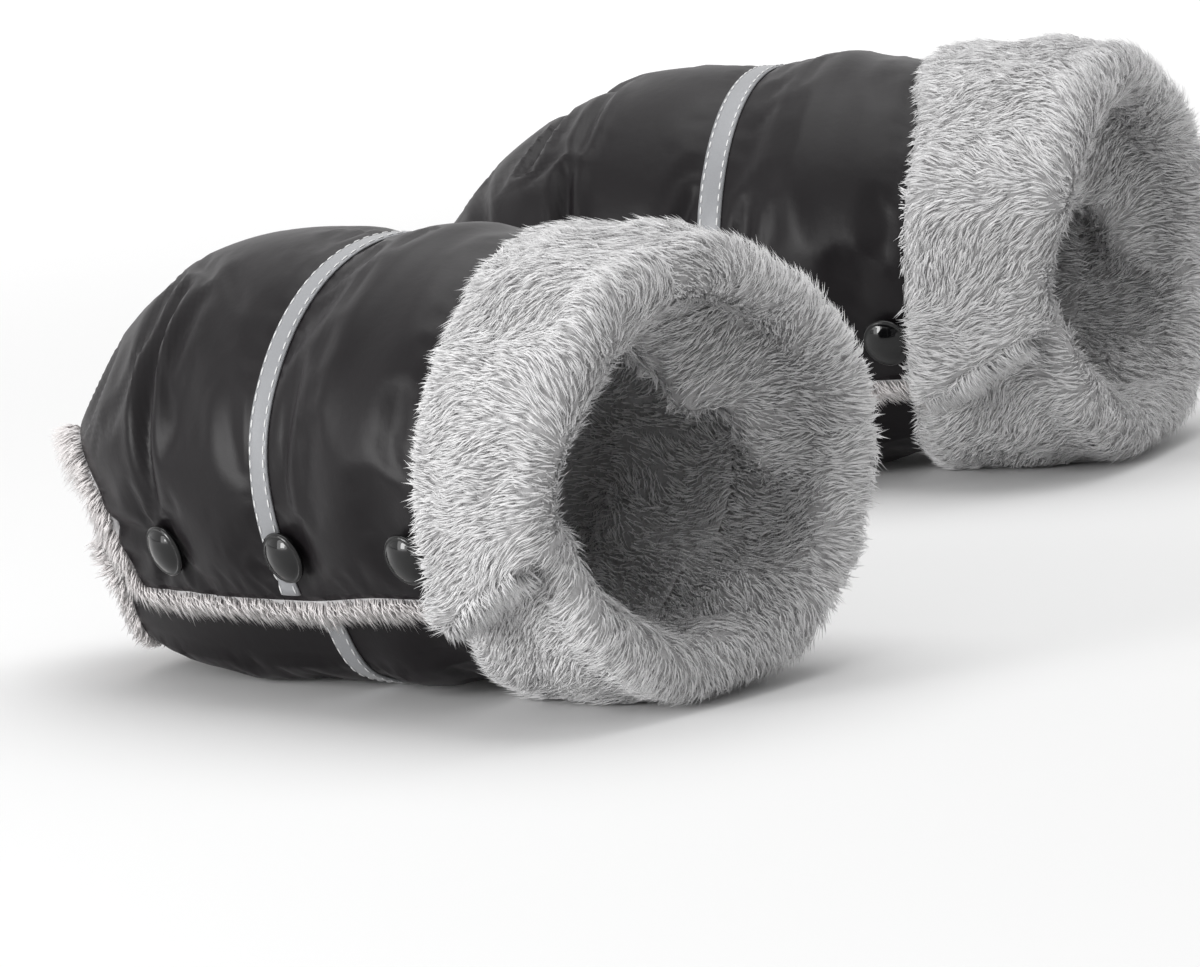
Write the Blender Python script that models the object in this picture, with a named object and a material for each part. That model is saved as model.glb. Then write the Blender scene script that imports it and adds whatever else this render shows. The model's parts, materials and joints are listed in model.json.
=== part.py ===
"""A pair of padded hand muffs for the handles of a pushchair, at real size.

Each muff is one padded sheet wrapped round a handle: a smooth shell cloth, wadding and a plush
lining. The sheet is closed along its near side, where a flap lies over a tongue and three press
studs hold it. The plush turns back over the shell as a deep cuff where the hand goes in.

Every wall is drawn on one form: a station along the muff, an angle round it (zero at the top,
a quarter turn at the near side) and a height above the shell's outer face. Metres, +Z up, the
hands enter from +X.
"""
import math

import bmesh
import bpy
from mathutils import Matrix, Vector

# One muff, seen from outside
MUFF_LENGTH = 0.292
GIRTH_HEIGHT = 0.146
GIRTH_WIDTH = 0.136
NECK_HEIGHT = 0.054
NECK_WIDTH = 0.052
NECK_LIFT = 0.014
TOE_TOP_LENGTH = 0.165
TOE_SIDE_LENGTH = 0.190
TOE_SOLE_LENGTH = 0.120
TOE_TOP_POWER = 3.2
TOE_SIDE_POWER = 3.0
TOE_SOLE_POWER = 1.6
REAR_START_SHARE = 0.5137
REAR_BLEND_LENGTH = 0.046
REAR_WIDENING = 0.010
REAR_LOWERING = 0.008
SOLE_FLAT_DEPTH = 0.001

# The crown that the wadding gives the shell between its sewn lines
CROWN_HEIGHT = 0.0036
CROWN_FADE_START = math.radians(66)
CROWN_FADE_END = math.radians(92)
CROWN_RETURN_START = math.radians(124)
CROWN_RETURN_END = math.radians(160)

# The neck end, where the handle passes through
NECK_CORNER_SET_BACK = 0.066
NECK_TONGUE_SET_BACK = 0.040
NECK_WALL = 0.008
WALL_GROWTH_LENGTH = 0.090

# The wall and its layers
WALL = 0.018
SHELL_THICKNESS = 0.0012
LAYER_GAP = 0.0003
PADDING_SHARE = 0.4
OVERLAP_GAP = 0.0006

# The closure along the near side
HINGE_ANGLE = math.radians(45)
TONGUE_ANGLE = math.radians(100)
HEM_ANGLE = math.radians(120)
FLAP_THINNING_START = math.radians(72)
FLAP_THINNING_END = math.radians(94)
TUCK_HOLD_ANGLE = math.radians(129)
TUCK_END_ANGLE = math.radians(156)
HINGE_CLEARANCE = 0.0015
SPLIT_GAP = 0.0004

# The reflective strip
STRIP_STATION_SHARE = 0.5068
STRIP_WIDTH = 0.009
STRIP_THICKNESS = 0.0008

# The turned-back cuff
CUFF_EDGE_SHARE = 0.6712
CUFF_CAP_CLEARANCE = 0.00115669
CUFF_NOTCH_POWER = 1.5
CUFF_THICKNESS = 0.007
RIM_DEPTH = 0.034
RIM_GAP = 0.0006
EDGE_SEAM_GAP = 0.0006

# The fur edgings
EDGING_WIDTH = 0.006

# The press studs
SNAP_COUNT = 3
SNAP_FIRST_SHARE = 0.3151
SNAP_PITCH_SHARE = 0.2123
SNAP_ANGLE = math.radians(106)
SNAP_SHANK_RADIUS = 0.0020
SNAP_SHANK_CLEARANCE = 0.0004
CAP_RADIUS = 0.0090
CAP_HEIGHT = 0.0032
CAP_RIM_HEIGHT = 0.0011
CAP_GRIP = 0.0016
SOCKET_RADIUS = 0.0062
SOCKET_HEIGHT = 0.0043
SOCKET_PLATE = 0.0015
SOCKET_MOUTH_RADIUS = 0.0043
SOCKET_RECESS = 0.0002
BALL_RADIUS = 0.0030
BALL_NECK_RADIUS = 0.0024
BALL_REACH = 0.0022
STUD_RADIUS = 0.0058
STUD_BASE = 0.0014
STUD_POCKET_DEPTH = 0.0020
POST_RADIUS = 0.0054
POST_PLATE = 0.0011
POST_SHANK_RADIUS = 0.0015
POST_POCKET_DEPTH = 0.0018
POCKET_CLEARANCE = 0.0004
CUTTER_OVERRUN = 0.0020
OUTER_SEGMENTS = 12
INNER_SEGMENTS = 8

# The pair
PAIR_YAW = math.radians(10)
RIGHT_SIDE_STEP = 0.322
RIGHT_SET_BACK = 0.094

# Where the mesh lines run, as shares of the stretch they divide
TOE_LINE_SHARES = (0.0, 0.07, 0.19, 0.37, 0.62, 1.0)
WAIST_LINE_SHARE = 0.55
FAR_SIDE_STEPS = 11
OVERLAP_STEPS = 2
TUCK_STEPS = 3
TUCK_TO_SOLE_STEPS = 2
SOLE_STEP = math.radians(9)
FLAP_UPPER_STEPS = 5
SEARCH_STEPS = 40
RIM_ARC_STEPS = 4

# Colours, roughness and metallic value
FINISHES = {
    "shell_cloth": ((0.028, 0.025, 0.030), 0.55, 0.0),
    "wadding": ((0.80, 0.80, 0.78), 0.95, 0.0),
    "plush": ((0.52, 0.51, 0.51), 0.95, 0.0),
    "reflective_tape": ((0.45, 0.45, 0.46), 0.40, 0.0),
    "snap_black": ((0.012, 0.012, 0.013), 0.15, 0.0),
    "snap_steel": ((0.60, 0.60, 0.60), 0.30, 1.0),
}

# Mesh clean-up
SMOOTH_ANGLE = math.radians(35)
MERGE_DISTANCE = 0.00001

FULL_TURN = 2 * math.pi
HALF_TURN = math.pi

# Stations that follow the muff's length
REAR_START = MUFF_LENGTH * REAR_START_SHARE
STRIP_STATION = MUFF_LENGTH * STRIP_STATION_SHARE
CUFF_EDGE = MUFF_LENGTH * CUFF_EDGE_SHARE
RIM_START = MUFF_LENGTH - RIM_DEPTH
SNAP_FIRST = MUFF_LENGTH * SNAP_FIRST_SHARE
SNAP_PITCH = MUFF_LENGTH * SNAP_PITCH_SHARE
SNAP_LAST = SNAP_FIRST + SNAP_PITCH * (SNAP_COUNT - 1)
# The cuff's edge is notched at the side to clear the last cap
CUFF_NOTCH = ((SNAP_LAST + CAP_RADIUS + CUFF_CAP_CLEARANCE - CUFF_EDGE)
              / math.sin(SNAP_ANGLE) ** CUFF_NOTCH_POWER)
FLAP_THICKNESS = (WALL - OVERLAP_GAP) / 2
STRIP_FRONT = STRIP_STATION - STRIP_WIDTH / 2
STRIP_REAR = STRIP_STATION + STRIP_WIDTH / 2


# The muff's form

def smooth(share):
    """Ease from 0 to 1, level at both ends."""
    share = min(max(share, 0.0), 1.0)
    return share * share * (3 - 2 * share)


def mix(start, end, share):
    return start + (end - start) * share


def swell(station, length, power):
    """Growth of the toe: steep at the neck, level where the toe ends."""
    share = min(max(station / length, 0.0), 1.0)
    return 1 - (1 - share) ** power


def girth(station):
    """Half width, half height, centre height and sole height of the shell at a station.

    The strip and the cuff both stand proud of the shell, and the muff rests on the two of them.
    """
    rear = smooth((station - REAR_START) / REAR_BLEND_LENGTH)
    lift = mix(STRIP_THICKNESS + LAYER_GAP, CUFF_THICKNESS, rear)
    top = mix(NECK_LIFT + NECK_HEIGHT, GIRTH_HEIGHT, swell(station, TOE_TOP_LENGTH, TOE_TOP_POWER))
    top += lift - REAR_LOWERING * rear
    toe = 1 - min(max(station / TOE_SOLE_LENGTH, 0.0), 1.0)
    sole = NECK_LIFT * toe ** TOE_SOLE_POWER + lift
    width = mix(NECK_WIDTH, GIRTH_WIDTH, swell(station, TOE_SIDE_LENGTH, TOE_SIDE_POWER))
    width += REAR_WIDENING * rear
    bottom = sole - SOLE_FLAT_DEPTH
    return width / 2, (top - bottom) / 2, (top + bottom) / 2, sole


def crown(station, angle):
    """The swell between the neck, the strip and the cuff, flat where the closure draws it in."""
    for front, rear in ((0.0, STRIP_FRONT), (STRIP_REAR, CUFF_EDGE)):
        if front < station < rear:
            rise = math.sin(math.pi * (station - front) / (rear - front)) ** 2
            angle = angle % FULL_TURN
            fade = smooth((angle - CROWN_FADE_START) / (CROWN_FADE_END - CROWN_FADE_START))
            back = smooth((angle - CROWN_RETURN_START) / (CROWN_RETURN_END - CROWN_RETURN_START))
            return CROWN_HEIGHT * rise * (1 - fade + back)
    return 0.0


def on_form(station, angle, out):
    """The point at a station and an angle, a height `out` above the shell's outer face."""
    half_width, half_height, centre, sole = girth(station)
    rise = out + crown(station, angle)
    across = -(half_width + rise) * math.sin(angle)
    height = centre + (half_height + rise) * math.cos(angle)
    return Vector((station, across, max(height, sole - out)))


def wall_at(station):
    return mix(NECK_WALL, WALL, smooth(station / WALL_GROWTH_LENGTH))


def tuck(station, angle):
    """How deep the lower panel lies under the flap, coming out to the full form below it."""
    angle = angle % FULL_TURN
    full = flap_thickness(station, FLAP_THINNING_END) + OVERLAP_GAP
    out = smooth((angle - TUCK_HOLD_ANGLE) / (TUCK_END_ANGLE - TUCK_HOLD_ANGLE))
    return full * (1 - out)


def flap_thickness(station, angle):
    """The flap is as thick as the wall at its root and half of it over the tongue."""
    wall = wall_at(station)
    thin = (wall - OVERLAP_GAP) / 2
    share = smooth((angle - FLAP_THINNING_START) / (FLAP_THINNING_END - FLAP_THINNING_START))
    return mix(wall, thin, share)


def neck_edge(angle):
    """The neck's slanted edge, furthest back at the flap's corner."""
    angle = angle % FULL_TURN
    if angle <= HEM_ANGLE:
        return NECK_CORNER_SET_BACK * smooth(angle / HEM_ANGLE)
    return 0.0


def body_neck_edge(angle):
    """The same edge on the wrapped body, which starts at the tongue."""
    if angle >= FULL_TURN:
        return neck_edge(angle)
    share = smooth((angle - TONGUE_ANGLE) / (FULL_TURN - TONGUE_ANGLE))
    return mix(NECK_TONGUE_SET_BACK, 0.0, share)


def cuff_edge(angle):
    """The cuff's front edge is set back round the near side."""
    return CUFF_EDGE + CUFF_NOTCH * max(math.sin(angle), 0.0) ** CUFF_NOTCH_POWER


# The fold line that the flap opens on

def hinge_line():
    """Two points of the fold just outside the cuff, and the split plane that holds the fold.

    Both ends lie the same height above the cuff's face, so the fold grazes the cuff all along,
    and at each end the plane points at the middle of the muff.
    """
    reach = CUFF_THICKNESS + HINGE_CLEARANCE
    rear = on_form(MUFF_LENGTH, HINGE_ANGLE, reach)
    half_width, half_height, _, _ = girth(MUFF_LENGTH)
    ray = Vector((0.0, -math.sin(HINGE_ANGLE), math.cos(HINGE_ANGLE)))
    away = Vector((0.0, ray.y / (half_width + reach), ray.z / (half_height + reach)))
    neck = Vector((0.0, 0.0, girth(0.0)[2]))
    front = neck + ray * ((rear - neck).dot(away) / ray.dot(away))
    along = (front - rear).normalized()
    normal = ray.cross(along).normalized()
    if normal.z < 0:
        normal = -normal
    return rear, front, along, normal


HINGE_REAR, HINGE_FRONT, HINGE_ALONG, SPLIT_NORMAL = hinge_line()


def split_angle(station, out, side):
    """The angle at which a wall's face meets the split plane, half a gap to one side of it."""
    low = 0.0
    high = HALF_TURN / 2
    for _ in range(SEARCH_STEPS):
        middle = (low + high) / 2
        height = (on_form(station, middle, out) - HINGE_REAR).dot(SPLIT_NORMAL)
        if height > side * SPLIT_GAP / 2:
            low = middle
        else:
            high = middle
    return (low + high) / 2


def fold_point(station, out, side):
    """A wall's corner on the split plane, at its own height above the form."""
    return on_form(station, split_angle(station, out, side), out)


# Mesh lines

def steps(start, end, count):
    """The lines after `start` that divide a stretch evenly, `end` among them."""
    return [mix(start, end, (index + 1) / count) for index in range(count)]


def stations(front):
    """Mesh lines along the muff as functions of the angle, from the neck edge to the rim."""
    def toe_line(share):
        return lambda angle: mix(front(angle), STRIP_FRONT, share)
    lines = [toe_line(share) for share in TOE_LINE_SHARES]
    lines.append(lambda angle: STRIP_REAR)
    lines.append(lambda angle: mix(STRIP_REAR, cuff_edge(angle), WAIST_LINE_SHARE))
    lines.append(cuff_edge)
    lines.append(lambda angle: RIM_START)
    return lines


def body_angles(station):
    """Mesh lines round the wrapped body at a station, from the tongue to just short of the fold."""
    angles = [TONGUE_ANGLE] + steps(TONGUE_ANGLE, HEM_ANGLE, OVERLAP_STEPS)
    angles += steps(HEM_ANGLE, TUCK_END_ANGLE, TUCK_STEPS)
    angles += steps(TUCK_END_ANGLE, HALF_TURN, TUCK_TO_SOLE_STEPS)
    angles.append(HALF_TURN + SOLE_STEP)
    last = FULL_TURN + split_angle(station, 0.0, 1)
    return angles + steps(HALF_TURN + SOLE_STEP, last, FAR_SIDE_STEPS)


def flap_angles(station):
    """Mesh lines down the flap at a station, from the fold to the hem."""
    first = split_angle(station, 0.0, -1)
    angles = [first] + steps(first, TONGUE_ANGLE, FLAP_UPPER_STEPS)
    return angles + steps(TONGUE_ANGLE, HEM_ANGLE, OVERLAP_STEPS)


def near_station(line):
    """A mesh line's station at the hem, where the closure's angles are read."""
    return line(HEM_ANGLE)


# Closed solids

def solid(name, verts, faces, finish, parent):
    """A mesh object from points and faces, closed and facing out."""
    mesh = bpy.data.meshes.new(name)
    build = bmesh.new()
    made = [build.verts.new(vert) for vert in verts]
    for face in faces:
        build.faces.new([made[index] for index in face])
    bmesh.ops.recalc_face_normals(build, faces=build.faces)
    build.to_mesh(mesh)
    build.free()
    return add_object(name, mesh, finish, parent)


def add_object(name, mesh, finish, parent):
    mesh.materials.clear()
    mesh.materials.append(material(finish))
    mesh.shade_smooth()
    mesh.set_sharp_from_angle(angle=SMOOTH_ANGLE)
    made = bpy.data.objects.new(name, mesh)
    bpy.context.collection.objects.link(made)
    made.parent = parent
    return made


def material(finish):
    """A Principled material, made once for each finish."""
    known = bpy.data.materials.get(finish)
    if known:
        return known
    colour, roughness, metallic = FINISHES[finish]
    made = bpy.data.materials.new(finish)
    made.use_nodes = True
    shader = made.node_tree.nodes["Principled BSDF"]
    shader.inputs["Base Color"].default_value = (*colour, 1.0)
    shader.inputs["Roughness"].default_value = roughness
    shader.inputs["Metallic"].default_value = metallic
    return made


def side_faces(rows, size):
    """Triangles between neighbouring loops of points.

    A layer's outer and inner faces, one on each half of the loop, are split along the same
    diagonals, so that faces a small gap apart stay parallel.
    """
    faces = []
    for row in range(rows - 1):
        for column in range(size):
            after = (column + 1) % size
            low = (row * size + column, row * size + after)
            high = ((row + 1) * size + column, (row + 1) * size + after)
            if column < size // 2:
                faces += [(low[0], low[1], high[1]), (low[0], high[1], high[0])]
            else:
                faces += [(low[0], low[1], high[0]), (low[1], high[1], high[0])]
    return faces


def paired_cap(base, size):
    """The end of a thin wall, which joins each outer point to its inner one."""
    return [(base + column, base + column + 1, base + size - 2 - column, base + size - 1 - column)
            for column in range(size // 2 - 1)]


def swept(name, loops, finish, parent, thin=False):
    """A solid through closed loops of points, one after another, with both ends filled."""
    size = len(loops[0])
    verts = [point for loop in loops for point in loop]
    faces = side_faces(len(loops), size)
    for base in (0, len(verts) - size):
        faces += paired_cap(base, size) if thin else [tuple(range(base, base + size))]
    return solid(name, verts, faces, finish, parent)


def layer(name, lines, angles_at, outer, inner, end_side, finish, parent):
    """One layer of the wall between two depths, over the mesh lines of the body or the flap."""
    tables = [angles_at(near_station(line)) for line in lines]
    count = len(tables[0])
    loops = []
    for column in range(count):
        face_out = [form_point(line, table, column, outer, end_side)
                    for line, table in zip(lines, tables)]
        face_in = [form_point(line, table, column, inner, end_side)
                   for line, table in zip(lines, tables)]
        loops.append(face_out + face_in[::-1])
    return swept(name, loops, finish, parent, thin=True)


def form_point(line, table, column, depth, end_side):
    """A layer's point; the end at the fold is moved onto the split plane at its own depth."""
    angle = table[column]
    station = line(angle)
    out = -depth(station, angle)
    if column == (0 if end_side < 0 else len(table) - 1):
        return fold_point(station, out, end_side)
    return on_form(station, angle, out)


# Depths of the layers, from the shell's outer face

def body_depth(share, margin):
    """A depth in the body's wall, `share` of the way through what lies under the shell cloth."""
    def depth(station, angle):
        top = tuck(station, angle) + SHELL_THICKNESS + LAYER_GAP
        return mix(top, wall_at(station), share) + margin
    return depth


def body_skin(thickness):
    return lambda station, angle: tuck(station, angle) + thickness


def flap_depth(share, margin):
    """The same in the flap's wall."""
    def depth(station, angle):
        top = SHELL_THICKNESS + LAYER_GAP
        return mix(top, flap_thickness(station, angle), share) + margin
    return depth


def flap_skin(thickness):
    return lambda station, angle: thickness


def build_wall(prefix, names, lines, angles_at, skin, depth, side, parent):
    """Shell cloth, wadding and plush lining, one inside the next."""
    cloth, wadding, plush = names
    return [
        layer(prefix + cloth, lines, angles_at, skin(0.0), skin(SHELL_THICKNESS), side,
              "shell_cloth", parent),
        layer(prefix + wadding, lines, angles_at, depth(0.0, 0.0), depth(PADDING_SHARE, 0.0),
              side, "wadding", parent),
        layer(prefix + plush, lines, angles_at, depth(PADDING_SHARE, LAYER_GAP),
              depth(1.0, 0.0), side, "plush", parent),
    ]


# The cuff

def cuff_section(place, edge, edge_tuck, rim_tuck):
    """The cuff's section: over the shell, round the rim and in to the lining's end."""
    base = LAYER_GAP
    face = CUFF_THICKNESS
    rim_face = RIM_START + RIM_GAP
    roll = (WALL + face - rim_tuck) / 2
    roll_centre = max(MUFF_LENGTH - roll, rim_face)
    outer = [place(edge, face / 2 - edge_tuck), place(edge + face / 2, face - edge_tuck),
             place(rim_face, face - rim_tuck)]
    arc = []
    for turn in steps(0.0, HALF_TURN, RIM_ARC_STEPS)[:-1]:
        station = roll_centre + (MUFF_LENGTH - roll_centre) * math.sin(turn)
        arc.append(place(station, face - rim_tuck - roll * (1 - math.cos(turn))))
    inner = [place(rim_face, -WALL), place(rim_face, base - rim_tuck),
             place(RIM_START, base - rim_tuck), place(edge, base - edge_tuck)]
    return outer + arc + inner


def build_cuff(name, angles_at, side, parent):
    """The cuff of the body (side 1) or of the flap (side -1), on the shell's own mesh lines."""
    edge_table = angles_at(near_station(cuff_edge))
    rim_table = angles_at(RIM_START)
    last = len(rim_table) - 1
    first = OVERLAP_STEPS if side > 0 else 0
    seam = EDGE_SEAM_GAP / (GIRTH_WIDTH / 2)
    loops = []
    for column in range(first, last + 1):
        edge_angle = edge_table[column]
        rim_angle = rim_table[column]
        edge = cuff_edge(edge_angle)
        shift = seam if side > 0 and column == first else 0.0

        def place(station, out, column=column, edge=edge, shift=shift):
            if station > RIM_START:
                angle = angles_at(station)[column]
            else:
                share = (station - edge) / (RIM_START - edge)
                angle = mix(edge_table[column], rim_table[column], share)
            return on_form(station, angle + shift, out)
        if column == (last if side > 0 else 0):
            place = at_fold(side)
        tucks = [tuck(edge, edge_angle), tuck(RIM_START, rim_angle)] if side > 0 else [0.0, 0.0]
        loops.append(cuff_section(place, edge, *tucks))
    return swept(name, loops, "plush", parent)


# Edgings and the strip

def band_corners(place, near, far, face, base):
    """A band's four corners between two stations and two heights, in order round the band."""
    return [place(near, face), place(far, face), place(far, base), place(near, base)]


def flap_edging_corners(near_place, far_place, near, far, angle):
    """An edging's corners on the flap: as thick as the flap at both stations.

    The fifth corner lies where the wall behind the edging changes from wadding to lining.
    """
    lining = -flap_depth(PADDING_SHARE, 0.0)(near, angle)
    return [near_place(near, LAYER_GAP), far_place(far, LAYER_GAP),
            far_place(far, -flap_thickness(far, angle)),
            near_place(near, -flap_thickness(near, angle)), near_place(near, lining)]


def at_angle(angle):
    return lambda station, out: on_form(station, angle, out)


def at_fold(side):
    return lambda station, out: fold_point(station, out, side)


def build_neck_edging(name, parent):
    """The plush edging round the body's part of the neck."""
    path = []
    table = body_angles(near_station(body_neck_edge))
    for angle in table:
        place = at_fold(1) if angle == table[-1] else at_angle(angle)
        station = body_neck_edge(angle)
        near = station - EDGE_SEAM_GAP
        lining = -body_depth(PADDING_SHARE, 0.0)(station, angle)
        path.append(band_corners(place, near, near - EDGING_WIDTH, -tuck(station, angle),
                                 LAYER_GAP - wall_at(station)) + [place(near, lining)])
    return swept(name, path, "plush", parent)


def build_hem_edging(name, parent):
    """The plush edging along the flap's slanted front edge and its hem."""
    path = []
    front = flap_angles(near_station(neck_edge))
    for angle in front[:-1]:
        place = at_fold(-1) if angle == front[0] else at_angle(angle)
        near = neck_edge(angle) - EDGE_SEAM_GAP
        path.append(flap_edging_corners(place, place, near, near - EDGING_WIDTH, angle))
    turn = 1 / (GIRTH_WIDTH / 2)
    above = HEM_ANGLE + EDGE_SEAM_GAP * turn
    below = above + EDGING_WIDTH * turn
    hem = [line(HEM_ANGLE) for line in stations(neck_edge)]
    hem = hem[:hem.index(STRIP_REAR) + 2] + [cuff_edge(below) - EDGE_SEAM_GAP]
    for station in hem:
        near = station - (EDGE_SEAM_GAP if station == hem[0] else 0.0)
        far = near - (EDGING_WIDTH if station == hem[0] else 0.0)
        path.append(flap_edging_corners(at_angle(above), at_angle(below), near, far, HEM_ANGLE))
    return swept(name, path, "plush", parent)


def build_strip(name, places, parent):
    """A length of the reflective strip over a list of (place, depth of the cloth there)."""
    path = []
    for place, lower in places:
        base = LAYER_GAP - lower
        path.append(band_corners(place, STRIP_FRONT, STRIP_REAR, base + STRIP_THICKNESS, base))
    return swept(name, path, "reflective_tape", parent)


def build_strips(prefix, body, flap):
    """The reflective strip in two lengths: from the hem round the body, and on the flap."""
    round_body = [(at_angle(angle), tuck(STRIP_STATION, angle))
                  for angle in body_angles(STRIP_STATION)[OVERLAP_STEPS + 1:-1]]
    round_body.append((at_fold(1), 0.0))
    cap_top = SNAP_ANGLE - (CAP_RADIUS + LAYER_GAP) / (GIRTH_HEIGHT / 2)
    down = [(at_fold(-1), 0.0)]
    down += [(at_angle(angle), 0.0) for angle in flap_angles(STRIP_STATION)[1:] if angle < cap_top]
    down.append((at_angle(cap_top), 0.0))
    build_strip(prefix + "strip_body", round_body, body)
    build_strip(prefix + "strip_flap", down, flap)


# The press studs

def snap_place(index):
    """A press stud's frame on the form: its origin on the shell's face, +Z out of the muff."""
    station = SNAP_FIRST + SNAP_PITCH * index
    place = on_form(station, SNAP_ANGLE, 0.0)
    nudge = SOLE_STEP / 2
    along = on_form(station + STRIP_WIDTH, SNAP_ANGLE, 0.0)
    along -= on_form(station - STRIP_WIDTH, SNAP_ANGLE, 0.0)
    around = on_form(station, SNAP_ANGLE + nudge, 0.0) - on_form(station, SNAP_ANGLE - nudge, 0.0)
    out = around.cross(along).normalized()
    if out.y > 0:
        out = -out
    turned = out.to_track_quat("Z", "X")
    return Matrix.Translation(place) @ turned.to_matrix().to_4x4()


def turned_mesh(name, profile, segments):
    """A turned mesh from (radius, height) points; a profile off the axis closes on itself."""
    build = bmesh.new()
    on_axis = profile[0][0] == 0.0
    made = [build.verts.new((radius, 0.0, height)) for radius, height in profile]
    pairs = list(zip(made, made[1:]))
    if not on_axis:
        pairs.append((made[-1], made[0]))
    edges = [build.edges.new(pair) for pair in pairs]
    bmesh.ops.spin(build, geom=made + edges, cent=(0, 0, 0), axis=(0, 0, 1),
                   angle=FULL_TURN, steps=segments, use_merge=True)
    bmesh.ops.remove_doubles(build, verts=build.verts, dist=MERGE_DISTANCE)
    bmesh.ops.recalc_face_normals(build, faces=build.faces)
    mesh = bpy.data.meshes.new(name)
    build.to_mesh(mesh)
    build.free()
    return mesh


# Heights in a press stud's own frame, from the shell's outer face of the flap
SOCKET_LOW = -(FLAP_THICKNESS - SOCKET_RECESS)
SOCKET_TOP = SOCKET_LOW + SOCKET_HEIGHT
SOCKET_PLATE_LOW = SOCKET_TOP - SOCKET_PLATE
TONGUE_FACE = -(FLAP_THICKNESS + OVERLAP_GAP)
STUD_TOP = TONGUE_FACE - SOCKET_RECESS
STUD_LOW = STUD_TOP - STUD_BASE
STUD_POCKET_LOW = TONGUE_FACE - STUD_POCKET_DEPTH
BALL_TOP = -FLAP_THICKNESS + BALL_REACH
POST_LOW = -WALL + SOCKET_RECESS
POST_FACE = POST_LOW + POST_PLATE
POST_POCKET_TOP = -WALL + POST_POCKET_DEPTH
POST_TIP = STUD_TOP + STUD_BASE / 2


def cap_profile():
    """A domed cap with a rounded rim and the shank that grips the socket."""
    grip = SOCKET_TOP - CAP_GRIP + SNAP_SHANK_CLEARANCE
    rim = CAP_RADIUS - CAP_RIM_HEIGHT / 2
    return [(0.0, CAP_HEIGHT), (CAP_RADIUS / 2, CAP_HEIGHT - LAYER_GAP),
            (rim, CAP_HEIGHT - CAP_RIM_HEIGHT), (CAP_RADIUS, CAP_RIM_HEIGHT),
            (rim, LAYER_GAP), (SNAP_SHANK_RADIUS, LAYER_GAP), (SNAP_SHANK_RADIUS, grip),
            (0.0, grip)]


def socket_profile():
    """A ring with a plate round the cap's shank and a mouth that flares for the ball."""
    bore = SNAP_SHANK_RADIUS + SNAP_SHANK_CLEARANCE
    mouth = SOCKET_MOUTH_RADIUS
    flare = mouth + SNAP_SHANK_CLEARANCE
    return [(bore, SOCKET_TOP), (SOCKET_RADIUS, SOCKET_TOP), (SOCKET_RADIUS, SOCKET_LOW),
            (flare, SOCKET_LOW), (mouth, SOCKET_LOW + SOCKET_PLATE / 2),
            (mouth, SOCKET_PLATE_LOW), (bore, SOCKET_PLATE_LOW)]


def stud_profile():
    """A base that sits in the tongue's cloth and a hollow ball over the post."""
    hollow = POST_SHANK_RADIUS + SNAP_SHANK_CLEARANCE
    shoulder = BALL_TOP - BALL_REACH / 3
    waist = BALL_TOP - BALL_REACH * 2 / 3
    return [(0.0, BALL_TOP), (BALL_NECK_RADIUS, BALL_TOP), (BALL_RADIUS, shoulder),
            (BALL_RADIUS, waist), (BALL_NECK_RADIUS, -FLAP_THICKNESS),
            (BALL_NECK_RADIUS, STUD_TOP), (STUD_RADIUS, STUD_TOP), (STUD_RADIUS, STUD_LOW),
            (hollow, STUD_LOW), (hollow, POST_TIP + SNAP_SHANK_CLEARANCE),
            (0.0, POST_TIP + SNAP_SHANK_CLEARANCE)]


def post_profile():
    """The rivet inside the tongue: a flat head in the lining and a shank up into the stud."""
    return [(0.0, POST_TIP), (POST_SHANK_RADIUS, POST_TIP), (POST_SHANK_RADIUS, POST_FACE),
            (POST_RADIUS, POST_FACE), (POST_RADIUS, POST_LOW), (0.0, POST_LOW)]


def flap_cut_profile():
    """The hole through the flap for the shank, widened from inside for the socket."""
    bore = SNAP_SHANK_RADIUS + SNAP_SHANK_CLEARANCE
    pocket = SOCKET_RADIUS + POCKET_CLEARANCE
    seat = SOCKET_TOP + LAYER_GAP
    low = -FLAP_THICKNESS - OVERLAP_GAP
    return [(0.0, CUTTER_OVERRUN), (bore, CUTTER_OVERRUN), (bore, seat), (pocket, seat),
            (pocket, low), (0.0, low)]


def tongue_cut_profile():
    """The hole through the tongue for the post, widened for the stud and the post's head."""
    bore = POST_SHANK_RADIUS + SNAP_SHANK_CLEARANCE
    stud = STUD_RADIUS + POCKET_CLEARANCE
    head = POST_RADIUS + POCKET_CLEARANCE
    high = TONGUE_FACE + OVERLAP_GAP
    low = -WALL - CUTTER_OVERRUN
    return [(0.0, high), (stud, high), (stud, STUD_POCKET_LOW), (bore, STUD_POCKET_LOW),
            (bore, POST_POCKET_TOP), (head, POST_POCKET_TOP), (head, low), (0.0, low)]


def add_cutter(name, mesh, place, targets, parent):
    """Cut a turned shape out of each target with a Boolean modifier."""
    cutter = bpy.data.objects.new(name, mesh)
    bpy.context.collection.objects.link(cutter)
    cutter.parent = parent
    cutter.matrix_local = place
    cutter.hide_render = True
    cutter.display_type = "WIRE"
    for target in targets:
        cut = target.modifiers.new(name, "BOOLEAN")
        cut.operation = "DIFFERENCE"
        cut.solver = "EXACT"
        cut.object = cutter


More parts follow.
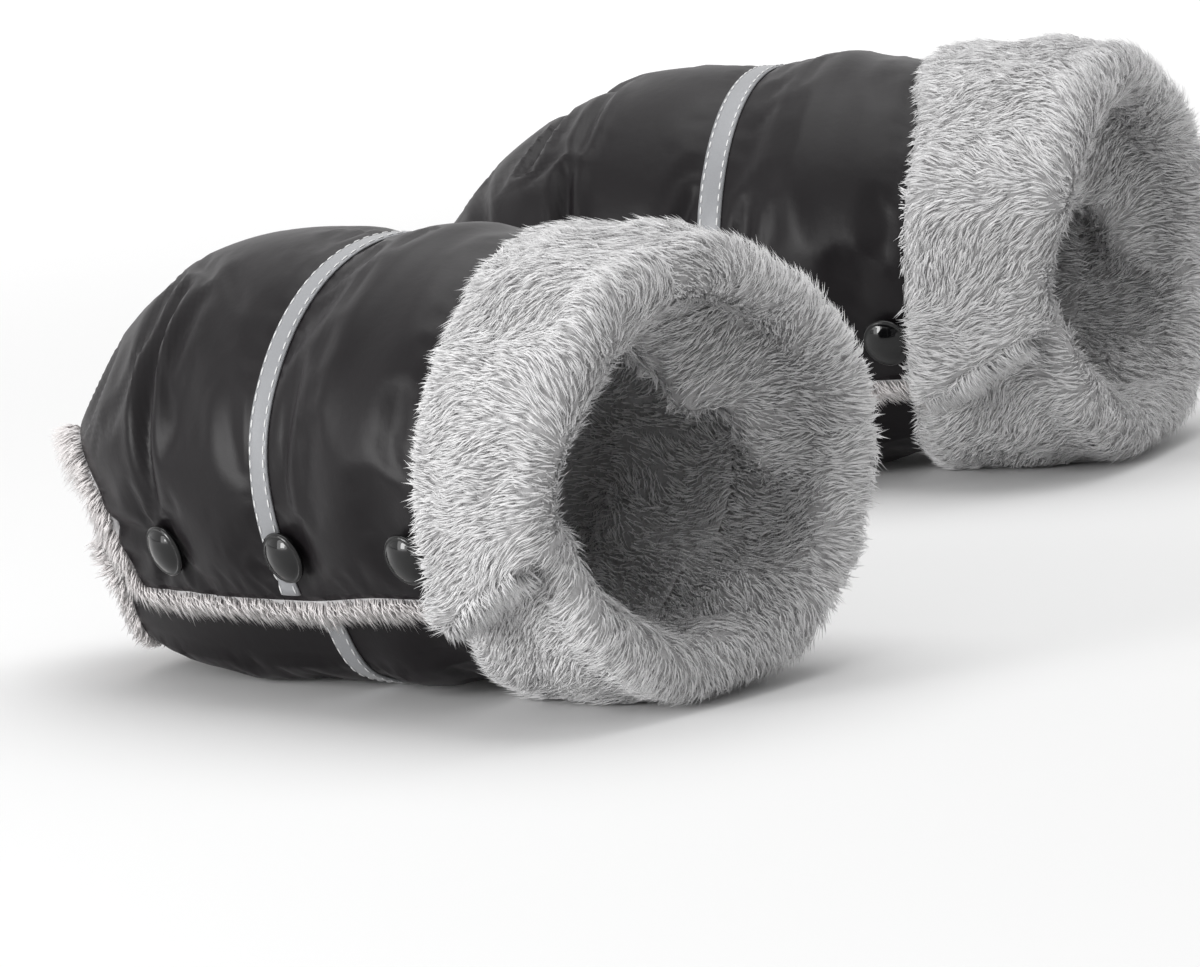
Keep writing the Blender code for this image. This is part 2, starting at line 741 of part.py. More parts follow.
def build_snaps(prefix, meshes, body_wall, flap_wall, body, flap):
    """Each press stud: cap and socket on the flap, stud and post on the tongue."""
    for index in range(SNAP_COUNT):
        place = snap_place(index)
        for piece, finish, parent in (("snap_cap", "snap_black", flap),
                                      ("snap_socket", "snap_steel", flap),
                                      ("snap_stud", "snap_steel", body),
                                      ("snap_post", "snap_steel", body)):
            name = f"{prefix}{piece}_{index + 1}"
            made = add_object(name, meshes[piece].copy(), finish, parent)
            made.matrix_local = flap_frame(place) if parent is flap else place
        add_cutter(f"{prefix}flap_cutter_{index + 1}", meshes["flap_cut"], place,
                   flap_wall, body)
        add_cutter(f"{prefix}tongue_cutter_{index + 1}", meshes["tongue_cut"], place,
                   body_wall, body)


def snap_meshes():
    return {
        "snap_cap": turned_mesh("snap_cap", cap_profile(), OUTER_SEGMENTS),
        "snap_socket": turned_mesh("snap_socket", socket_profile(), OUTER_SEGMENTS),
        "snap_stud": turned_mesh("snap_stud", stud_profile(), INNER_SEGMENTS),
        "snap_post": turned_mesh("snap_post", post_profile(), INNER_SEGMENTS),
        "flap_cut": turned_mesh("flap_cut", flap_cut_profile(), OUTER_SEGMENTS),
        "tongue_cut": turned_mesh("tongue_cut", tongue_cut_profile(), OUTER_SEGMENTS),
    }


# Assembly

def flap_frame(matrix):
    """A place on the muff, given from the flap's own origin on the fold line."""
    return Matrix.Translation(-HINGE_REAR) @ matrix


def seat_on_hinge(piece):
    """Move a piece's mesh so that its origin lies on the fold line."""
    piece.data.transform(Matrix.Translation(-HINGE_REAR))


def empty(name, parent, place):
    made = bpy.data.objects.new(name, None)
    bpy.context.collection.objects.link(made)
    made.parent = parent
    made.matrix_local = place
    return made


def build_muff(prefix, place, meshes):
    """One muff with its flap, in its own frame under one empty."""
    body = empty(prefix + "muff", None, place)
    flap = empty(prefix + "fold_line", body, Matrix.Translation(HINGE_REAR))
    body_lines = stations(body_neck_edge)
    flap_lines = stations(neck_edge)
    body_wall = build_wall(prefix, ("outer_shell", "padding", "fur_lining"), body_lines,
                           body_angles, body_skin, body_depth, 1, body)
    flap_wall = build_wall(prefix, ("flap_shell", "flap_padding", "flap_lining"), flap_lines,
                           flap_angles, flap_skin, flap_depth, -1, flap)
    build_cuff(prefix + "fur_cuff", body_angles, 1, body)
    build_cuff(prefix + "flap_cuff", flap_angles, -1, flap)
    build_neck_edging(prefix + "neck_fur", body)
    build_hem_edging(prefix + "hem_fur", flap)
    build_strips(prefix, body, flap)
    for piece in flap.children:
        seat_on_hinge(piece)
    build_snaps(prefix, meshes, body_wall, flap_wall, body, flap)
    return body


def pair_places():
    """Where the two muffs stand, turned apart by the same angle."""
    left = Matrix.Rotation(-PAIR_YAW, 4, "Z")
    right = Matrix.Translation((-RIGHT_SET_BACK, RIGHT_SIDE_STEP, 0.0))
    return left, right @ Matrix.Rotation(PAIR_YAW, 4, "Z")


def centre_on_floor(muffs):
    """Move both muffs so that the origin lies under the middle of the pair's box."""
    bpy.context.view_layer.update()
    corners = []
    for piece in bpy.context.scene.objects:
        if piece.type == "MESH" and not piece.hide_render:
            corners += [piece.matrix_world @ vert.co for vert in piece.data.vertices]
    low = Vector([min(corner[axis] for corner in corners) for axis in range(3)])
    high = Vector([max(corner[axis] for corner in corners) for axis in range(3)])
    shift = Vector((-(low.x + high.x) / 2, -(low.y + high.y) / 2, -low.z))
    for muff in muffs:
        muff.matrix_world = Matrix.Translation(shift) @ muff.matrix_world


def main():
    for old in list(bpy.data.objects):
        bpy.data.objects.remove(old, do_unlink=True)
    meshes = snap_meshes()
    left, right = pair_places()
    muffs = [build_muff("left_", left, meshes), build_muff("right_", right, meshes)]
    centre_on_floor(muffs)
    bpy.context.view_layer.update()
    for muff in muffs:
        rear = muff.matrix_world @ HINGE_REAR
        front = muff.matrix_world @ HINGE_FRONT
        print(muff.name, "fold line from", tuple(rear), "to", tuple(front))


main()
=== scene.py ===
# %% [markdown]
# # A pair of padded hand muffs, dressed for the camera
# The CAD model gives every size, joint and press stud. This notebook adds what the hand and the
# eye know the muffs by: a shell cloth that puffs and puckers between its seams, a reflective
# strip with its stitches, glossy stud caps, and the deep pile of the plush.

# %% Load the frame
import json
import math
from contextlib import contextmanager

import bpy
import numpy as np
from mathutils import Matrix, Vector

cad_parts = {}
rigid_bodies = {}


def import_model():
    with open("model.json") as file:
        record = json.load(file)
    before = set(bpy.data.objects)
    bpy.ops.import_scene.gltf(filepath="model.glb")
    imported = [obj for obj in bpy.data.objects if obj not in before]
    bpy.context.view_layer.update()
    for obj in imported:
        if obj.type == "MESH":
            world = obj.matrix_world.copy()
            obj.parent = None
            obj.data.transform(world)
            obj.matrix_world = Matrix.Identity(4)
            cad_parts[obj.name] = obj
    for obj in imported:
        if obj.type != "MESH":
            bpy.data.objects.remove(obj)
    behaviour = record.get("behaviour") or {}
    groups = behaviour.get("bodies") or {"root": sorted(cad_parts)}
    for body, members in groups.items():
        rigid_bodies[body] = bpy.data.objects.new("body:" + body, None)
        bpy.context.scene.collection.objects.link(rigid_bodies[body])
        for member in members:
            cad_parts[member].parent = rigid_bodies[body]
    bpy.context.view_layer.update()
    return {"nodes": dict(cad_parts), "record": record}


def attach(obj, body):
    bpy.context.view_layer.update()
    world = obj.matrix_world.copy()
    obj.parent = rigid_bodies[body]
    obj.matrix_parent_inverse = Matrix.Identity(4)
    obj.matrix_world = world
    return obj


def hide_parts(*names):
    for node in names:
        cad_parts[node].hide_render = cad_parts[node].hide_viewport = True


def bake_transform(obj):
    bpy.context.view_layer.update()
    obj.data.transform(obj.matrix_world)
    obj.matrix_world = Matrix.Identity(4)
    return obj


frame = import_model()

bpy.context.scene.view_settings.view_transform = "Standard"

# %% [markdown]
# ## The form that every layer follows
# A muff is a padded sheet wrapped round a handle, so each point on it has a station (its distance
# from the neck), an angle round the muff (zero on top, a quarter turn at the near side) and a
# height above the shell cloth. These are the CAD model's own sizes, in metres. Arrays of stations
# and angles go in, so that a whole sheet is laid at once.

# %% Sizes of one muff
MUFF_LENGTH = 0.292
GIRTH_HEIGHT, GIRTH_WIDTH = 0.146, 0.136
NECK_HEIGHT, NECK_WIDTH, NECK_LIFT = 0.054, 0.052, 0.014
TOE_TOP_LENGTH, TOE_SIDE_LENGTH, TOE_SOLE_LENGTH = 0.165, 0.190, 0.120
TOE_TOP_POWER, TOE_SIDE_POWER, TOE_SOLE_POWER = 3.2, 3.0, 1.6
REAR_START, REAR_BLEND_LENGTH, REAR_WIDENING, REAR_LOWERING = 0.150, 0.046, 0.010, 0.008
SOLE_FLAT_DEPTH = 0.001
NECK_CORNER_SET_BACK, NECK_TONGUE_SET_BACK = 0.066, 0.040
NECK_WALL, WALL, WALL_GROWTH_LENGTH = 0.008, 0.018, 0.090
SHELL_THICKNESS, LAYER_GAP, PADDING_SHARE, OVERLAP_GAP = 0.0012, 0.0003, 0.4, 0.0006
HINGE_DEGREES, TONGUE_DEGREES, HEM_DEGREES = 45, 100, 120
THINNING_DEGREES, TUCK_DEGREES = (72, 94), (129, 156)
HINGE_CLEARANCE = 0.0015
STRIP_STATION, STRIP_WIDTH, STRIP_THICKNESS = 0.148, 0.009, 0.0008
STRIP_FRONT, STRIP_REAR = STRIP_STATION - STRIP_WIDTH / 2, STRIP_STATION + STRIP_WIDTH / 2
CUFF_EDGE, CUFF_NOTCH, CUFF_NOTCH_POWER, CUFF_THICKNESS = 0.196, 0.032, 1.5, 0.007
RIM_START = 0.258
SNAP_COUNT, SNAP_FIRST, SNAP_PITCH, SNAP_DEGREES, CAP_RADIUS = 3, 0.092, 0.062, 106, 0.009
CROWN_HEIGHT, CROWN_FADE, CROWN_RETURN = 0.0036, (66, 92), (124, 160)
PLUSH_EDGE_DEGREES = (0, 35, 50, 65, 80, 130, 160, 270, 330, 360)
PLUSH_EDGE_LAG = (0.0160, 0.0150, 0.0100, 0.0028, -0.0010, -0.0010, 0.0045, 0.0045, 0.0135, 0.0160)
PAIR_YAW = {"left": -10, "right": 10}


# %% The form as functions of station and angle
def ease(share):
    share = np.clip(share, 0, 1)
    return share * share * (3 - 2 * share)


def mix(start, end, share):
    return start + (end - start) * share


def between(value, start, end):
    """Eased share of the way from start to end."""
    return ease((value - start) / (end - start))


def swell(station, length, power):
    return 1 - (1 - np.clip(station / length, 0, 1)) ** power


def crown(station, angle, end=CUFF_EDGE):
    """The shell's swell between its sewn lines, flat where the closure draws it in."""
    rise = 0.0
    for front, rear in ((0.0, STRIP_FRONT), (STRIP_REAR, end)):
        share = np.clip((station - front) / (rear - front), 0, 1)
        rise = rise + np.sin(np.pi * share) ** 2
    turned = angle % 360
    fade, back = between(turned, *CROWN_FADE), between(turned, *CROWN_RETURN)
    return CROWN_HEIGHT * rise * (1 - fade + back)


def on_form(station, angle, out):
    """Points of the muff's own frame; angles are in degrees."""
    given = (np.asarray(value, float) for value in (station, angle, out))
    station, angle, out = np.broadcast_arrays(*given)
    rear = ease((station - REAR_START) / REAR_BLEND_LENGTH)
    lift = mix(STRIP_THICKNESS + LAYER_GAP, CUFF_THICKNESS, rear)
    top = mix(NECK_LIFT + NECK_HEIGHT, GIRTH_HEIGHT, swell(station, TOE_TOP_LENGTH, TOE_TOP_POWER))
    top = top + lift - REAR_LOWERING * rear
    toe = 1 - np.clip(station / TOE_SOLE_LENGTH, 0, 1)
    sole = NECK_LIFT * toe ** TOE_SOLE_POWER + lift
    width = mix(NECK_WIDTH, GIRTH_WIDTH, swell(station, TOE_SIDE_LENGTH, TOE_SIDE_POWER))
    width = width + REAR_WIDENING * rear
    bottom = sole - SOLE_FLAT_DEPTH
    turn = np.radians(angle)
    rise = out + crown(station, angle)
    across = -(width / 2 + rise) * np.sin(turn)
    height = (top + bottom) / 2 + ((top - bottom) / 2 + rise) * np.cos(turn)
    return np.stack([station, across, np.maximum(height, sole - out)], axis=-1)


def wall_at(station):
    return mix(NECK_WALL, WALL, ease(np.asarray(station) / WALL_GROWTH_LENGTH))


def flap_thickness(station, angle):
    share = between(angle % 360, *THINNING_DEGREES)
    return mix(wall_at(station), (wall_at(station) - OVERLAP_GAP) / 2, share)


def tuck(station, angle):
    """How deep the sheet lies under the flap; zero from where it comes out to the hem."""
    held = 1 - between(angle, *TUCK_DEGREES)
    return ((wall_at(station) - OVERLAP_GAP) / 2 + OVERLAP_GAP) * held


def neck_edge(angle):
    """The sheet's front edge, from the tongue round to the flap's corner at 480 degrees."""
    under = mix(NECK_TONGUE_SET_BACK, 0.0, between(angle, TONGUE_DEGREES, 360))
    over = NECK_CORNER_SET_BACK * ease((angle - 360) / HEM_DEGREES)
    return np.where(angle < 360, under, over)


def cuff_edge(angle):
    return CUFF_EDGE + CUFF_NOTCH * np.maximum(np.sin(np.radians(angle)), 0) ** CUFF_NOTCH_POWER


def plush_edge(angle):
    """Where the turned-back plush begins: further back on top, right at the studs at the side."""
    return cuff_edge(angle) + np.interp(angle % 360, PLUSH_EDGE_DEGREES, PLUSH_EDGE_LAG)


print("the plush's edge on top and at the side", plush_edge(np.array([0, 90])))

# %% [markdown]
# ## Where the two muffs stand
# The CAD model turns the muffs ten degrees apart, and each flap's hinge is a known point of it.
# The same point in the muff's own frame gives the muff's place, with nothing fitted by eye. A
# sheet that crosses the fold is split at the far side, three quarters of a turn round: the part
# below rides on the body, and the part above is left in place on no body.

# %% Places and the fold
TOP_START = 270
HEM_END, FLAP_START = 360 + HEM_DEGREES, 360 + HINGE_DEGREES
BEND_ABOVE, BEND_BELOW = 0.020, 0.008
SIDES = ("left", "right")
HINGE = on_form(MUFF_LENGTH, HINGE_DEGREES, CUFF_THICKNESS + HINGE_CLEARANCE)
joints = {joint["name"]: joint for joint in frame["record"]["behaviour"]["joints"]}


def muff_place(side):
    turn = Matrix.Rotation(math.radians(PAIR_YAW[side]), 4, "Z")
    fold = Vector(joints[side + "_flap_fold"]["pos_m"])
    return Matrix.Translation(fold - turn @ Vector(HINGE)) @ turn


PLACES = {side: muff_place(side) for side in SIDES}
for side in SIDES:
    print(side, "muff stands at", [round(value, 4) for value in PLACES[side].translation])

# %% [markdown]
# ## Working tools
# Everything is selected after the CAD model loads, and a bpy operator acts on what is selected,
# so each new piece starts by deselecting. A sheet starts as a grid primitive with as many rows
# and columns as the cloth needs, and its points are then laid on the form. Solidify gives a sheet
# its thickness, with closed edges.

# %% Helpers for sheets
def deselect():
    for item in bpy.context.selected_objects:
        item.select_set(False)


def activate(piece):
    deselect()
    piece.select_set(True)
    bpy.context.view_layer.objects.active = piece


def set_points(piece, points):
    piece.data.vertices.foreach_set("co", np.asarray(points, np.float32).ravel())
    piece.data.update()


def get_points(piece):
    points = np.empty(len(piece.data.vertices) * 3, np.float32)
    piece.data.vertices.foreach_get("co", points)
    return points.reshape(-1, 3)


def lay_grid(name, points):
    """A grid primitive whose vertices are laid on rows and columns of points."""
    rows, columns = points.shape[:2]
    deselect()
    bpy.ops.mesh.primitive_grid_add(x_subdivisions=columns - 1, y_subdivisions=rows - 1, size=2)
    piece = bpy.context.object
    piece.name = piece.data.name = name
    flat = get_points(piece)
    column = np.rint((flat[:, 0] + 1) / 2 * (columns - 1)).astype(int)
    row = np.rint((flat[:, 1] + 1) / 2 * (rows - 1)).astype(int)
    assert len(flat) == rows * columns
    set_points(piece, points[row, column])
    return piece, row, column


def apply_modifiers(piece):
    activate(piece)
    for modifier in list(piece.modifiers):
        bpy.ops.object.modifier_apply(modifier=modifier.name)


@contextmanager
def editing(piece, select="SELECT"):
    """Edit mode on one piece, with everything selected, or select=None for what already is."""
    activate(piece)
    bpy.ops.object.mode_set(mode="EDIT")
    if select:
        bpy.ops.mesh.select_all(action=select)
    yield
    bpy.ops.object.mode_set(mode="OBJECT")


def face_out(piece):
    with editing(piece):
        bpy.ops.mesh.normals_make_consistent(inside=False)


def link_piece(name, data):
    piece = bpy.data.objects.new(name, data)
    bpy.context.collection.objects.link(piece)
    return piece


def coat(piece, material):
    piece.data.materials.clear()
    piece.data.materials.append(material)


def keep_above(points, least):
    points[..., 2] = np.maximum(points[..., 2], least)


BODY = {"under": "muffs"}  # the other parts are left in place on no body


def set_down(piece, side, material, body=None):
    """Put a piece of the muff's own frame in its place, and let it ride on a body if one is given;
    otherwise leave it in place.
    """
    piece.data.transform(PLACES[side])
    coat(piece, material)
    activate(piece)
    bpy.ops.object.shade_smooth()
    if body:
        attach(piece, body)
    else:
        fold = PLACES[side] @ Vector(HINGE)
        above = fold + SPLIT_NORMAL[side] * BEND_ABOVE
        below = fold - SPLIT_NORMAL[side] * BEND_BELOW
        side + "_flap"
        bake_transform(piece)


def split_normal(side):
    """The way across the fold, square to the hinge's axis, from the flap to the muff's top."""
    along = Vector(joints[side + "_flap_fold"]["axis"])
    away = PLACES[side].to_3x3() @ Vector((0, -math.sin(math.radians(HINGE_DEGREES)),
                                           math.cos(math.radians(HINGE_DEGREES))))
    normal = away.cross(along).normalized()
    return normal if normal.z > 0 else -normal


SPLIT_NORMAL = {side: split_normal(side) for side in SIDES}
print("across the fold", SPLIT_NORMAL)

# %% [markdown]
# ## Materials
# A small class wraps a node socket, so shader maths reads like arithmetic. The cloth is a smooth
# proofed polyester: nearly black with a breath of violet, a faint plain weave and a soft sheen.
# The plush is dyed light grey, with painted shade that darkens each lock towards its root, where
# the light can't reach. Its pattern runs along each lock, so it reads the lock's own map.

# %% Shader helpers
class Wire:
    """A socket that arithmetic can be done on."""
    tree = None

    def __init__(self, socket):
        self.socket = socket

    @classmethod
    def node(cls, kind, settings=None, output=0, **inputs):
        made = cls.tree.nodes.new(kind)
        for name, value in (settings or {}).items():
            setattr(made, name, value)
        for name, value in inputs.items():
            socket = made.inputs[int(name[1:]) if name[0] == "i" and name[1:].isdigit()
                                 else name.replace("_", " ")]
            if isinstance(value, Wire):
                cls.tree.links.new(value.socket, socket)
            else:
                socket.default_value = value
        return cls(made.outputs[output])

    def maths(self, operation, other, swap=False):
        first, second = (other, self) if swap else (self, other)
        return Wire.node("ShaderNodeMath", {"operation": operation}, i0=first, i1=second)

    def __add__(self, other):
        return self.maths("ADD", other)

    def __rsub__(self, other):
        return self.maths("SUBTRACT", other, swap=True)

    def __mul__(self, other):
        return self.maths("MULTIPLY", other)

    __radd__, __rmul__ = __add__, __mul__


def new_material(name, **constants):
    """A Principled material; what is the same all over is set on the shader's own sockets."""
    material = bpy.data.materials.new(name)
    material.use_nodes = True
    shader = material.node_tree.nodes["Principled BSDF"]
    for socket, value in constants.items():
        shader.inputs[socket.replace("_", " ")].default_value = value
    Wire.tree = material.node_tree
    return material, shader


def plug(wire, shader, socket):
    Wire.tree.links.new(wire.socket, shader.inputs[socket])


def noise(scale, detail=2.0):
    where = Wire.node("ShaderNodeTexCoord", output=3)
    return Wire.node("ShaderNodeTexNoise", Vector=where, Scale=scale, Detail=detail)


def blend_colours(share, low, high):
    return Wire.node("ShaderNodeMix", {"data_type": "RGBA"}, output=2, i0=share, i6=low, i7=high)


def mottle(shader, share, low, high):
    """A base colour that varies between two."""
    plug(blend_colours(share, (*low, 1), (*high, 1)), shader, "Base Color")


def bump(height, strength, distance):
    return Wire.node("ShaderNodeBump", Height=height, Strength=strength, Distance=distance)


def speckled(name, grain, low, high, gloss=None, metal=None, relief=None, **constants):
    """A material mottled by noise, with a gloss, metal share or relief that vary too."""
    material, shader = new_material(name, **constants)
    pattern = noise(*grain)
    mottle(shader, pattern, low, high)
    if gloss:
        plug(gloss[0] + gloss[1] * noise(*gloss[2:]), shader, "Roughness")
    if metal:
        plug(metal * pattern, shader, "Metallic")
    if relief:
        plug(bump(noise(relief[0]), *relief[1:]), shader, "Normal")
    return material


# %% The shell cloth
SHELL_DARK, SHELL_LIGHT = (0.0055, 0.0046, 0.0053), (0.0090, 0.0075, 0.0087)
SHELL_ROUGHNESS, ROUGHNESS_SPREAD = 0.33, 0.12
WEAVE_SCALE, CREASE_SCALE, CLOUD_SCALE = 2600, 160, 26
CREASE_SHARE, CLOTH_BUMP, CLOTH_BUMP_DEPTH = 6.0, 0.18, 0.00012


def make_shell_cloth():
    material, shader = new_material("muff_shell_cloth", Sheen_Weight=0.03, Sheen_Roughness=0.4,
                                    Sheen_Tint=(0.60, 0.52, 0.58, 1), Specular_IOR_Level=0.18)
    cloud, weave = noise(CLOUD_SCALE, 3.0), noise(WEAVE_SCALE, 1.0)
    mottle(shader, cloud, SHELL_DARK, SHELL_LIGHT)
    plug(SHELL_ROUGHNESS + ROUGHNESS_SPREAD * cloud, shader, "Roughness")
    relief = weave + CREASE_SHARE * noise(CREASE_SCALE, 3.0)
    plug(bump(relief, CLOTH_BUMP, CLOTH_BUMP_DEPTH), shader, "Normal")
    return material


SHELL_CLOTH = make_shell_cloth()


# %% The plush
def make_plush(name, root, tip, tone_spread):
    """Colour along a lock from a darker root to a lighter tip, the darker root being painted shade;
    each lock's tone is the map's other direction.
    """
    material, shader = new_material(name, Roughness=0.75, Sheen_Weight=0.35, Sheen_Roughness=0.4,
                                    Specular_IOR_Level=0.25)
    place = Wire.node("ShaderNodeUVMap", {"uv_map": "OFBake"})
    tone = Wire.node("ShaderNodeSeparateXYZ", output=0, Vector=place)
    along = Wire.node("ShaderNodeSeparateXYZ", output=1, Vector=place)
    mottle(shader, along * (1 - tone_spread) + tone * tone_spread, root, tip)
    return material


# Painted shade: the first colour, at the roots, is darker than the tip's, for the shade deep in the
# pile
PLUSH = make_plush("muff_plush", (0.66, 0.655, 0.66), (0.96, 0.955, 0.96), 0.42)
TRIM_PLUSH = make_plush("muff_trim_plush", (0.66, 0.62, 0.62), (0.97, 0.94, 0.93), 0.30)


# The plush's knitted ground and its undercoat, seen only between the locks
PLUSH_GROUND = speckled("muff_plush_ground", (700, 3.0), (0.34, 0.335, 0.34), (0.56, 0.555, 0.56),
                        relief=(1500, 0.6, 0.0006), Roughness=0.9)

# %% [markdown]
# ## The wrapped shell
# The shell is cut as one panel: tongue, underside, far side, top and flap. On the real muff the
# cloth is sewn to the plush at its edges, held down by the strip and drawn in at each press stud,
# and it billows over the wadding between them. That is what a cloth simulation does well: the
# panel is pinned along those lines, given a little more cloth than it needs, and blown up gently.
# A few long tucks that the photograph shows are pressed in before, by moves in code.

# %% The panel and its sewn lines
PANEL_COLUMNS, PANEL_ROWS = 190, 84
FRONT_SHARE, STRIP_ROWS, SEAM_SHARPNESS = 0.66, 4, 0.6
UNDER_CUFF = 0.010
panel_angle = np.linspace(TONGUE_DEGREES, HEM_END, PANEL_COLUMNS)
seam_column = int(np.argmin(abs(panel_angle - TOP_START)))


def panel_stations(angles, rows=PANEL_ROWS):
    """Rows from the neck edge to just under the cuff, with rows on both edges of the strip."""
    front, rear = neck_edge(angles), plush_edge(angles) + UNDER_CUFF
    before, across = int(rows * FRONT_SHARE), STRIP_ROWS
    strip = np.linspace(STRIP_FRONT, STRIP_REAR, across)[:, None]
    behind = np.linspace(0, 1, rows - before - across + 2)[:, None]
    return np.concatenate([
        mix(front[None, :], STRIP_FRONT, np.linspace(0, 1, before)[:, None])[:-1],
        np.repeat(strip, len(angles), 1)[:-1], mix(STRIP_REAR, rear[None, :], behind)])


panel_station = panel_stations(panel_angle)
panel_turn = np.broadcast_to(panel_angle, panel_station.shape)
panel_depth = np.where(panel_turn < 360, tuck(panel_station, panel_turn), 0.0)
print("panel rows and columns", panel_station.shape, "seam at column", seam_column)


def away_from(distance, reach):
    """0 on a sewn line, rising to 1 past its reach."""
    return ease(distance / reach) ** SEAM_SHARPNESS


def snap_distance(station, angle, index):
    """Distance on the cloth from a press stud, in metres."""
    along = station - (SNAP_FIRST + SNAP_PITCH * index)
    around = np.radians(angle - 360 - SNAP_DEGREES) * GIRTH_HEIGHT / 2
    return np.hypot(along, around)


# %% Puff and tucks
PUFF, SEAM_REACH, STRIP_REACH, HEM_RADIUS = 0.0012, 0.022, 0.020, 0.07
SNAP_HOLD, SNAP_FADE, DIMPLE_DEPTH, DIMPLE_WIDTH = 0.004, 0.030, 0.0014, 0.016
TUCK_TIP, TUCK_TAPER, LIP_HEIGHT, LIP_PLACE = 0.12, 0.7, 0.45, 2.1
TUCKS = {  # (station, degrees) at both ends, depth and width in metres
    "left": [
        ((0.093, 456), (0.084, 392), 0.0040, 0.0036), ((0.088, 430), (0.072, 388), 0.0016, 0.0040),
        ((0.092, 436), (0.102, 398), 0.0012, 0.0040), ((0.140, 448), (0.130, 420), 0.0014, 0.0040),
        ((0.158, 454), (0.165, 420), 0.0018, 0.0040), ((0.040, 455), (0.082, 462), 0.0020, 0.0034),
        ((0.088, 470), (0.080, 477), 0.0010, 0.0030), ((0.098, 470), (0.106, 477), 0.0010, 0.0030),
        ((0.012, 405), (0.030, 436), 0.0026, 0.0030), ((0.146, 476), (0.138, 470), 0.0016, 0.0022)],
    "right": [
        ((0.070, 352), (0.066, 400), 0.0030, 0.0030), ((0.090, 360), (0.092, 402), 0.0022, 0.0028),
        ((0.094, 455), (0.088, 408), 0.0036, 0.0030), ((0.159, 452), (0.164, 424), 0.0026, 0.0030),
        ((0.036, 380), (0.052, 420), 0.0026, 0.0030), ((0.132, 440), (0.140, 420), 0.0018, 0.0026)],
}


def beside_line(station, angle, start, end, radius):
    """How far each point is from a line on the cloth, and its share of the way along it."""
    across = np.stack([station, np.radians(angle) * radius], -1)
    first = np.array([start[0], math.radians(start[1]) * radius])
    line = np.array([end[0], math.radians(end[1]) * radius]) - first
    share = np.clip((across - first) @ line / (line @ line), 0, 1)
    return np.linalg.norm(across - first - share[..., None] * line, axis=-1), share


def pressed_tuck(station, angle, start, end, depth, width):
    """A groove between two points of the cloth, with a raised lip on each side."""
    distance, share = beside_line(station, angle, start, end, GIRTH_HEIGHT / 2)
    taper = np.sin(np.pi * np.clip(TUCK_TIP + (1 - TUCK_TIP) * (1 - share), 0, 1)) ** TUCK_TAPER
    near = distance / width
    return depth * taper * (LIP_HEIGHT * np.exp(-((near - LIP_PLACE) ** 2)) - np.exp(-near ** 2))


def puffed(side, station, angle):
    """Height of the cloth above the form before the simulation."""
    edge = away_from(station - neck_edge(angle), SEAM_REACH)
    strip = away_from(abs(station - STRIP_STATION) - STRIP_WIDTH / 2, STRIP_REACH)
    cuff = away_from(plush_edge(angle) - station, SEAM_REACH)
    hem = away_from(np.radians(HEM_END - angle) * HEM_RADIUS, SEAM_REACH)
    height = PUFF * edge * strip * cuff * hem
    height = height + crown(station, angle, plush_edge(angle)) - crown(station, angle)
    for index in range(SNAP_COUNT):
        distance = snap_distance(station, angle, index)
        height = height * ease((distance - SNAP_HOLD) / SNAP_FADE)
        height = height - DIMPLE_DEPTH * np.exp(-(distance / DIMPLE_WIDTH) ** 2)
    for start, end, depth, width in TUCKS[side]:
        height = height + pressed_tuck(station, angle, start, end, depth, width)
    return height


# %% Blow the panel up
CLOTH_FRAMES, STEADY_DEGREES = 16, 150
NECK_PIN, CUFF_PIN, STRIP_PIN, HEM_PIN_DEGREES, CAP_PIN = 0.0008, 0.001, 0.0002, 0.5, 0.7
CLOTH = {"quality": 6, "mass": 0.15, "tension_stiffness": 12, "compression_stiffness": 12,
         "shear_stiffness": 6, "bending_stiffness": 0.35, "air_damping": 4,
         "vertex_group_mass": "sewn", "shrink_min": -0.016, "use_pressure": True,
         "uniform_pressure_force": 1.4}  # shrink_min below zero is spare cloth
RISE_CAP, SINK_CAP, NORMAL_STEP = 0.0040, 0.0040, 0.002


def pinned_weight(station, angle):
    """1 where the cloth is sewn or riveted, and 0 where it is free."""
    held = (station - neck_edge(angle) < NECK_PIN) | (station > plush_edge(angle) + CUFF_PIN)
    held |= abs(station - STRIP_STATION) < STRIP_WIDTH / 2 + STRIP_PIN
    held |= (angle > HEM_END - HEM_PIN_DEGREES) | (angle < STEADY_DEGREES)
    for index in range(SNAP_COUNT):
        held |= snap_distance(station, angle, index) < CAP_RADIUS * CAP_PIN
    return np.where(held, 1.0, 0.0)


def simulate_panel(piece, weights):
    """Cloth with pins, a little spare cloth and a gentle pressure, then applied."""
    group = piece.vertex_groups.new(name="sewn")
    for vertex in np.flatnonzero(weights > 0):
        group.add([int(vertex)], float(weights[vertex]), "REPLACE")
    cloth = piece.modifiers.new("billow", "CLOTH")
    for name, value in CLOTH.items():
        setattr(cloth.settings, name, value)
    cloth.settings.effector_weights.gravity = 0
    cloth.point_cache.frame_start, cloth.point_cache.frame_end = 1, CLOTH_FRAMES
    for step in range(1, CLOTH_FRAMES + 1):
        bpy.context.scene.frame_set(step)
    activate(piece)
    bpy.ops.object.modifier_apply(modifier=cloth.name)
    bpy.context.scene.frame_set(1)


def panel_surface(side):
    """The panel's outer face, as rows and columns of points and the heights above the form."""
    height = np.where(panel_turn > STEADY_DEGREES, puffed(side, panel_station, panel_turn), 0.0)
    start = on_form(panel_station, panel_turn, height - panel_depth)
    piece, row, column = lay_grid(side + "_panel", start)
    simulate_panel(piece, pinned_weight(panel_station, panel_turn)[row, column])
    moved = np.empty_like(start)
    moved[row, column] = get_points(piece)
    bpy.data.objects.remove(piece)
    form = on_form(panel_station, panel_turn, -panel_depth)
    outward = on_form(panel_station, panel_turn, NORMAL_STEP - panel_depth) - form
    outward /= np.maximum(np.linalg.norm(outward, axis=-1, keepdims=True), 1e-9)
    rise = np.sum((moved - form) * outward, -1, keepdims=True)
    slide = moved - form - rise * outward
    return form + np.clip(rise, -SINK_CAP, RISE_CAP) * outward + slide


# %% Cut the panel at the far side and give it its wadding
SHELL_OFF_FLOOR = 0.0009


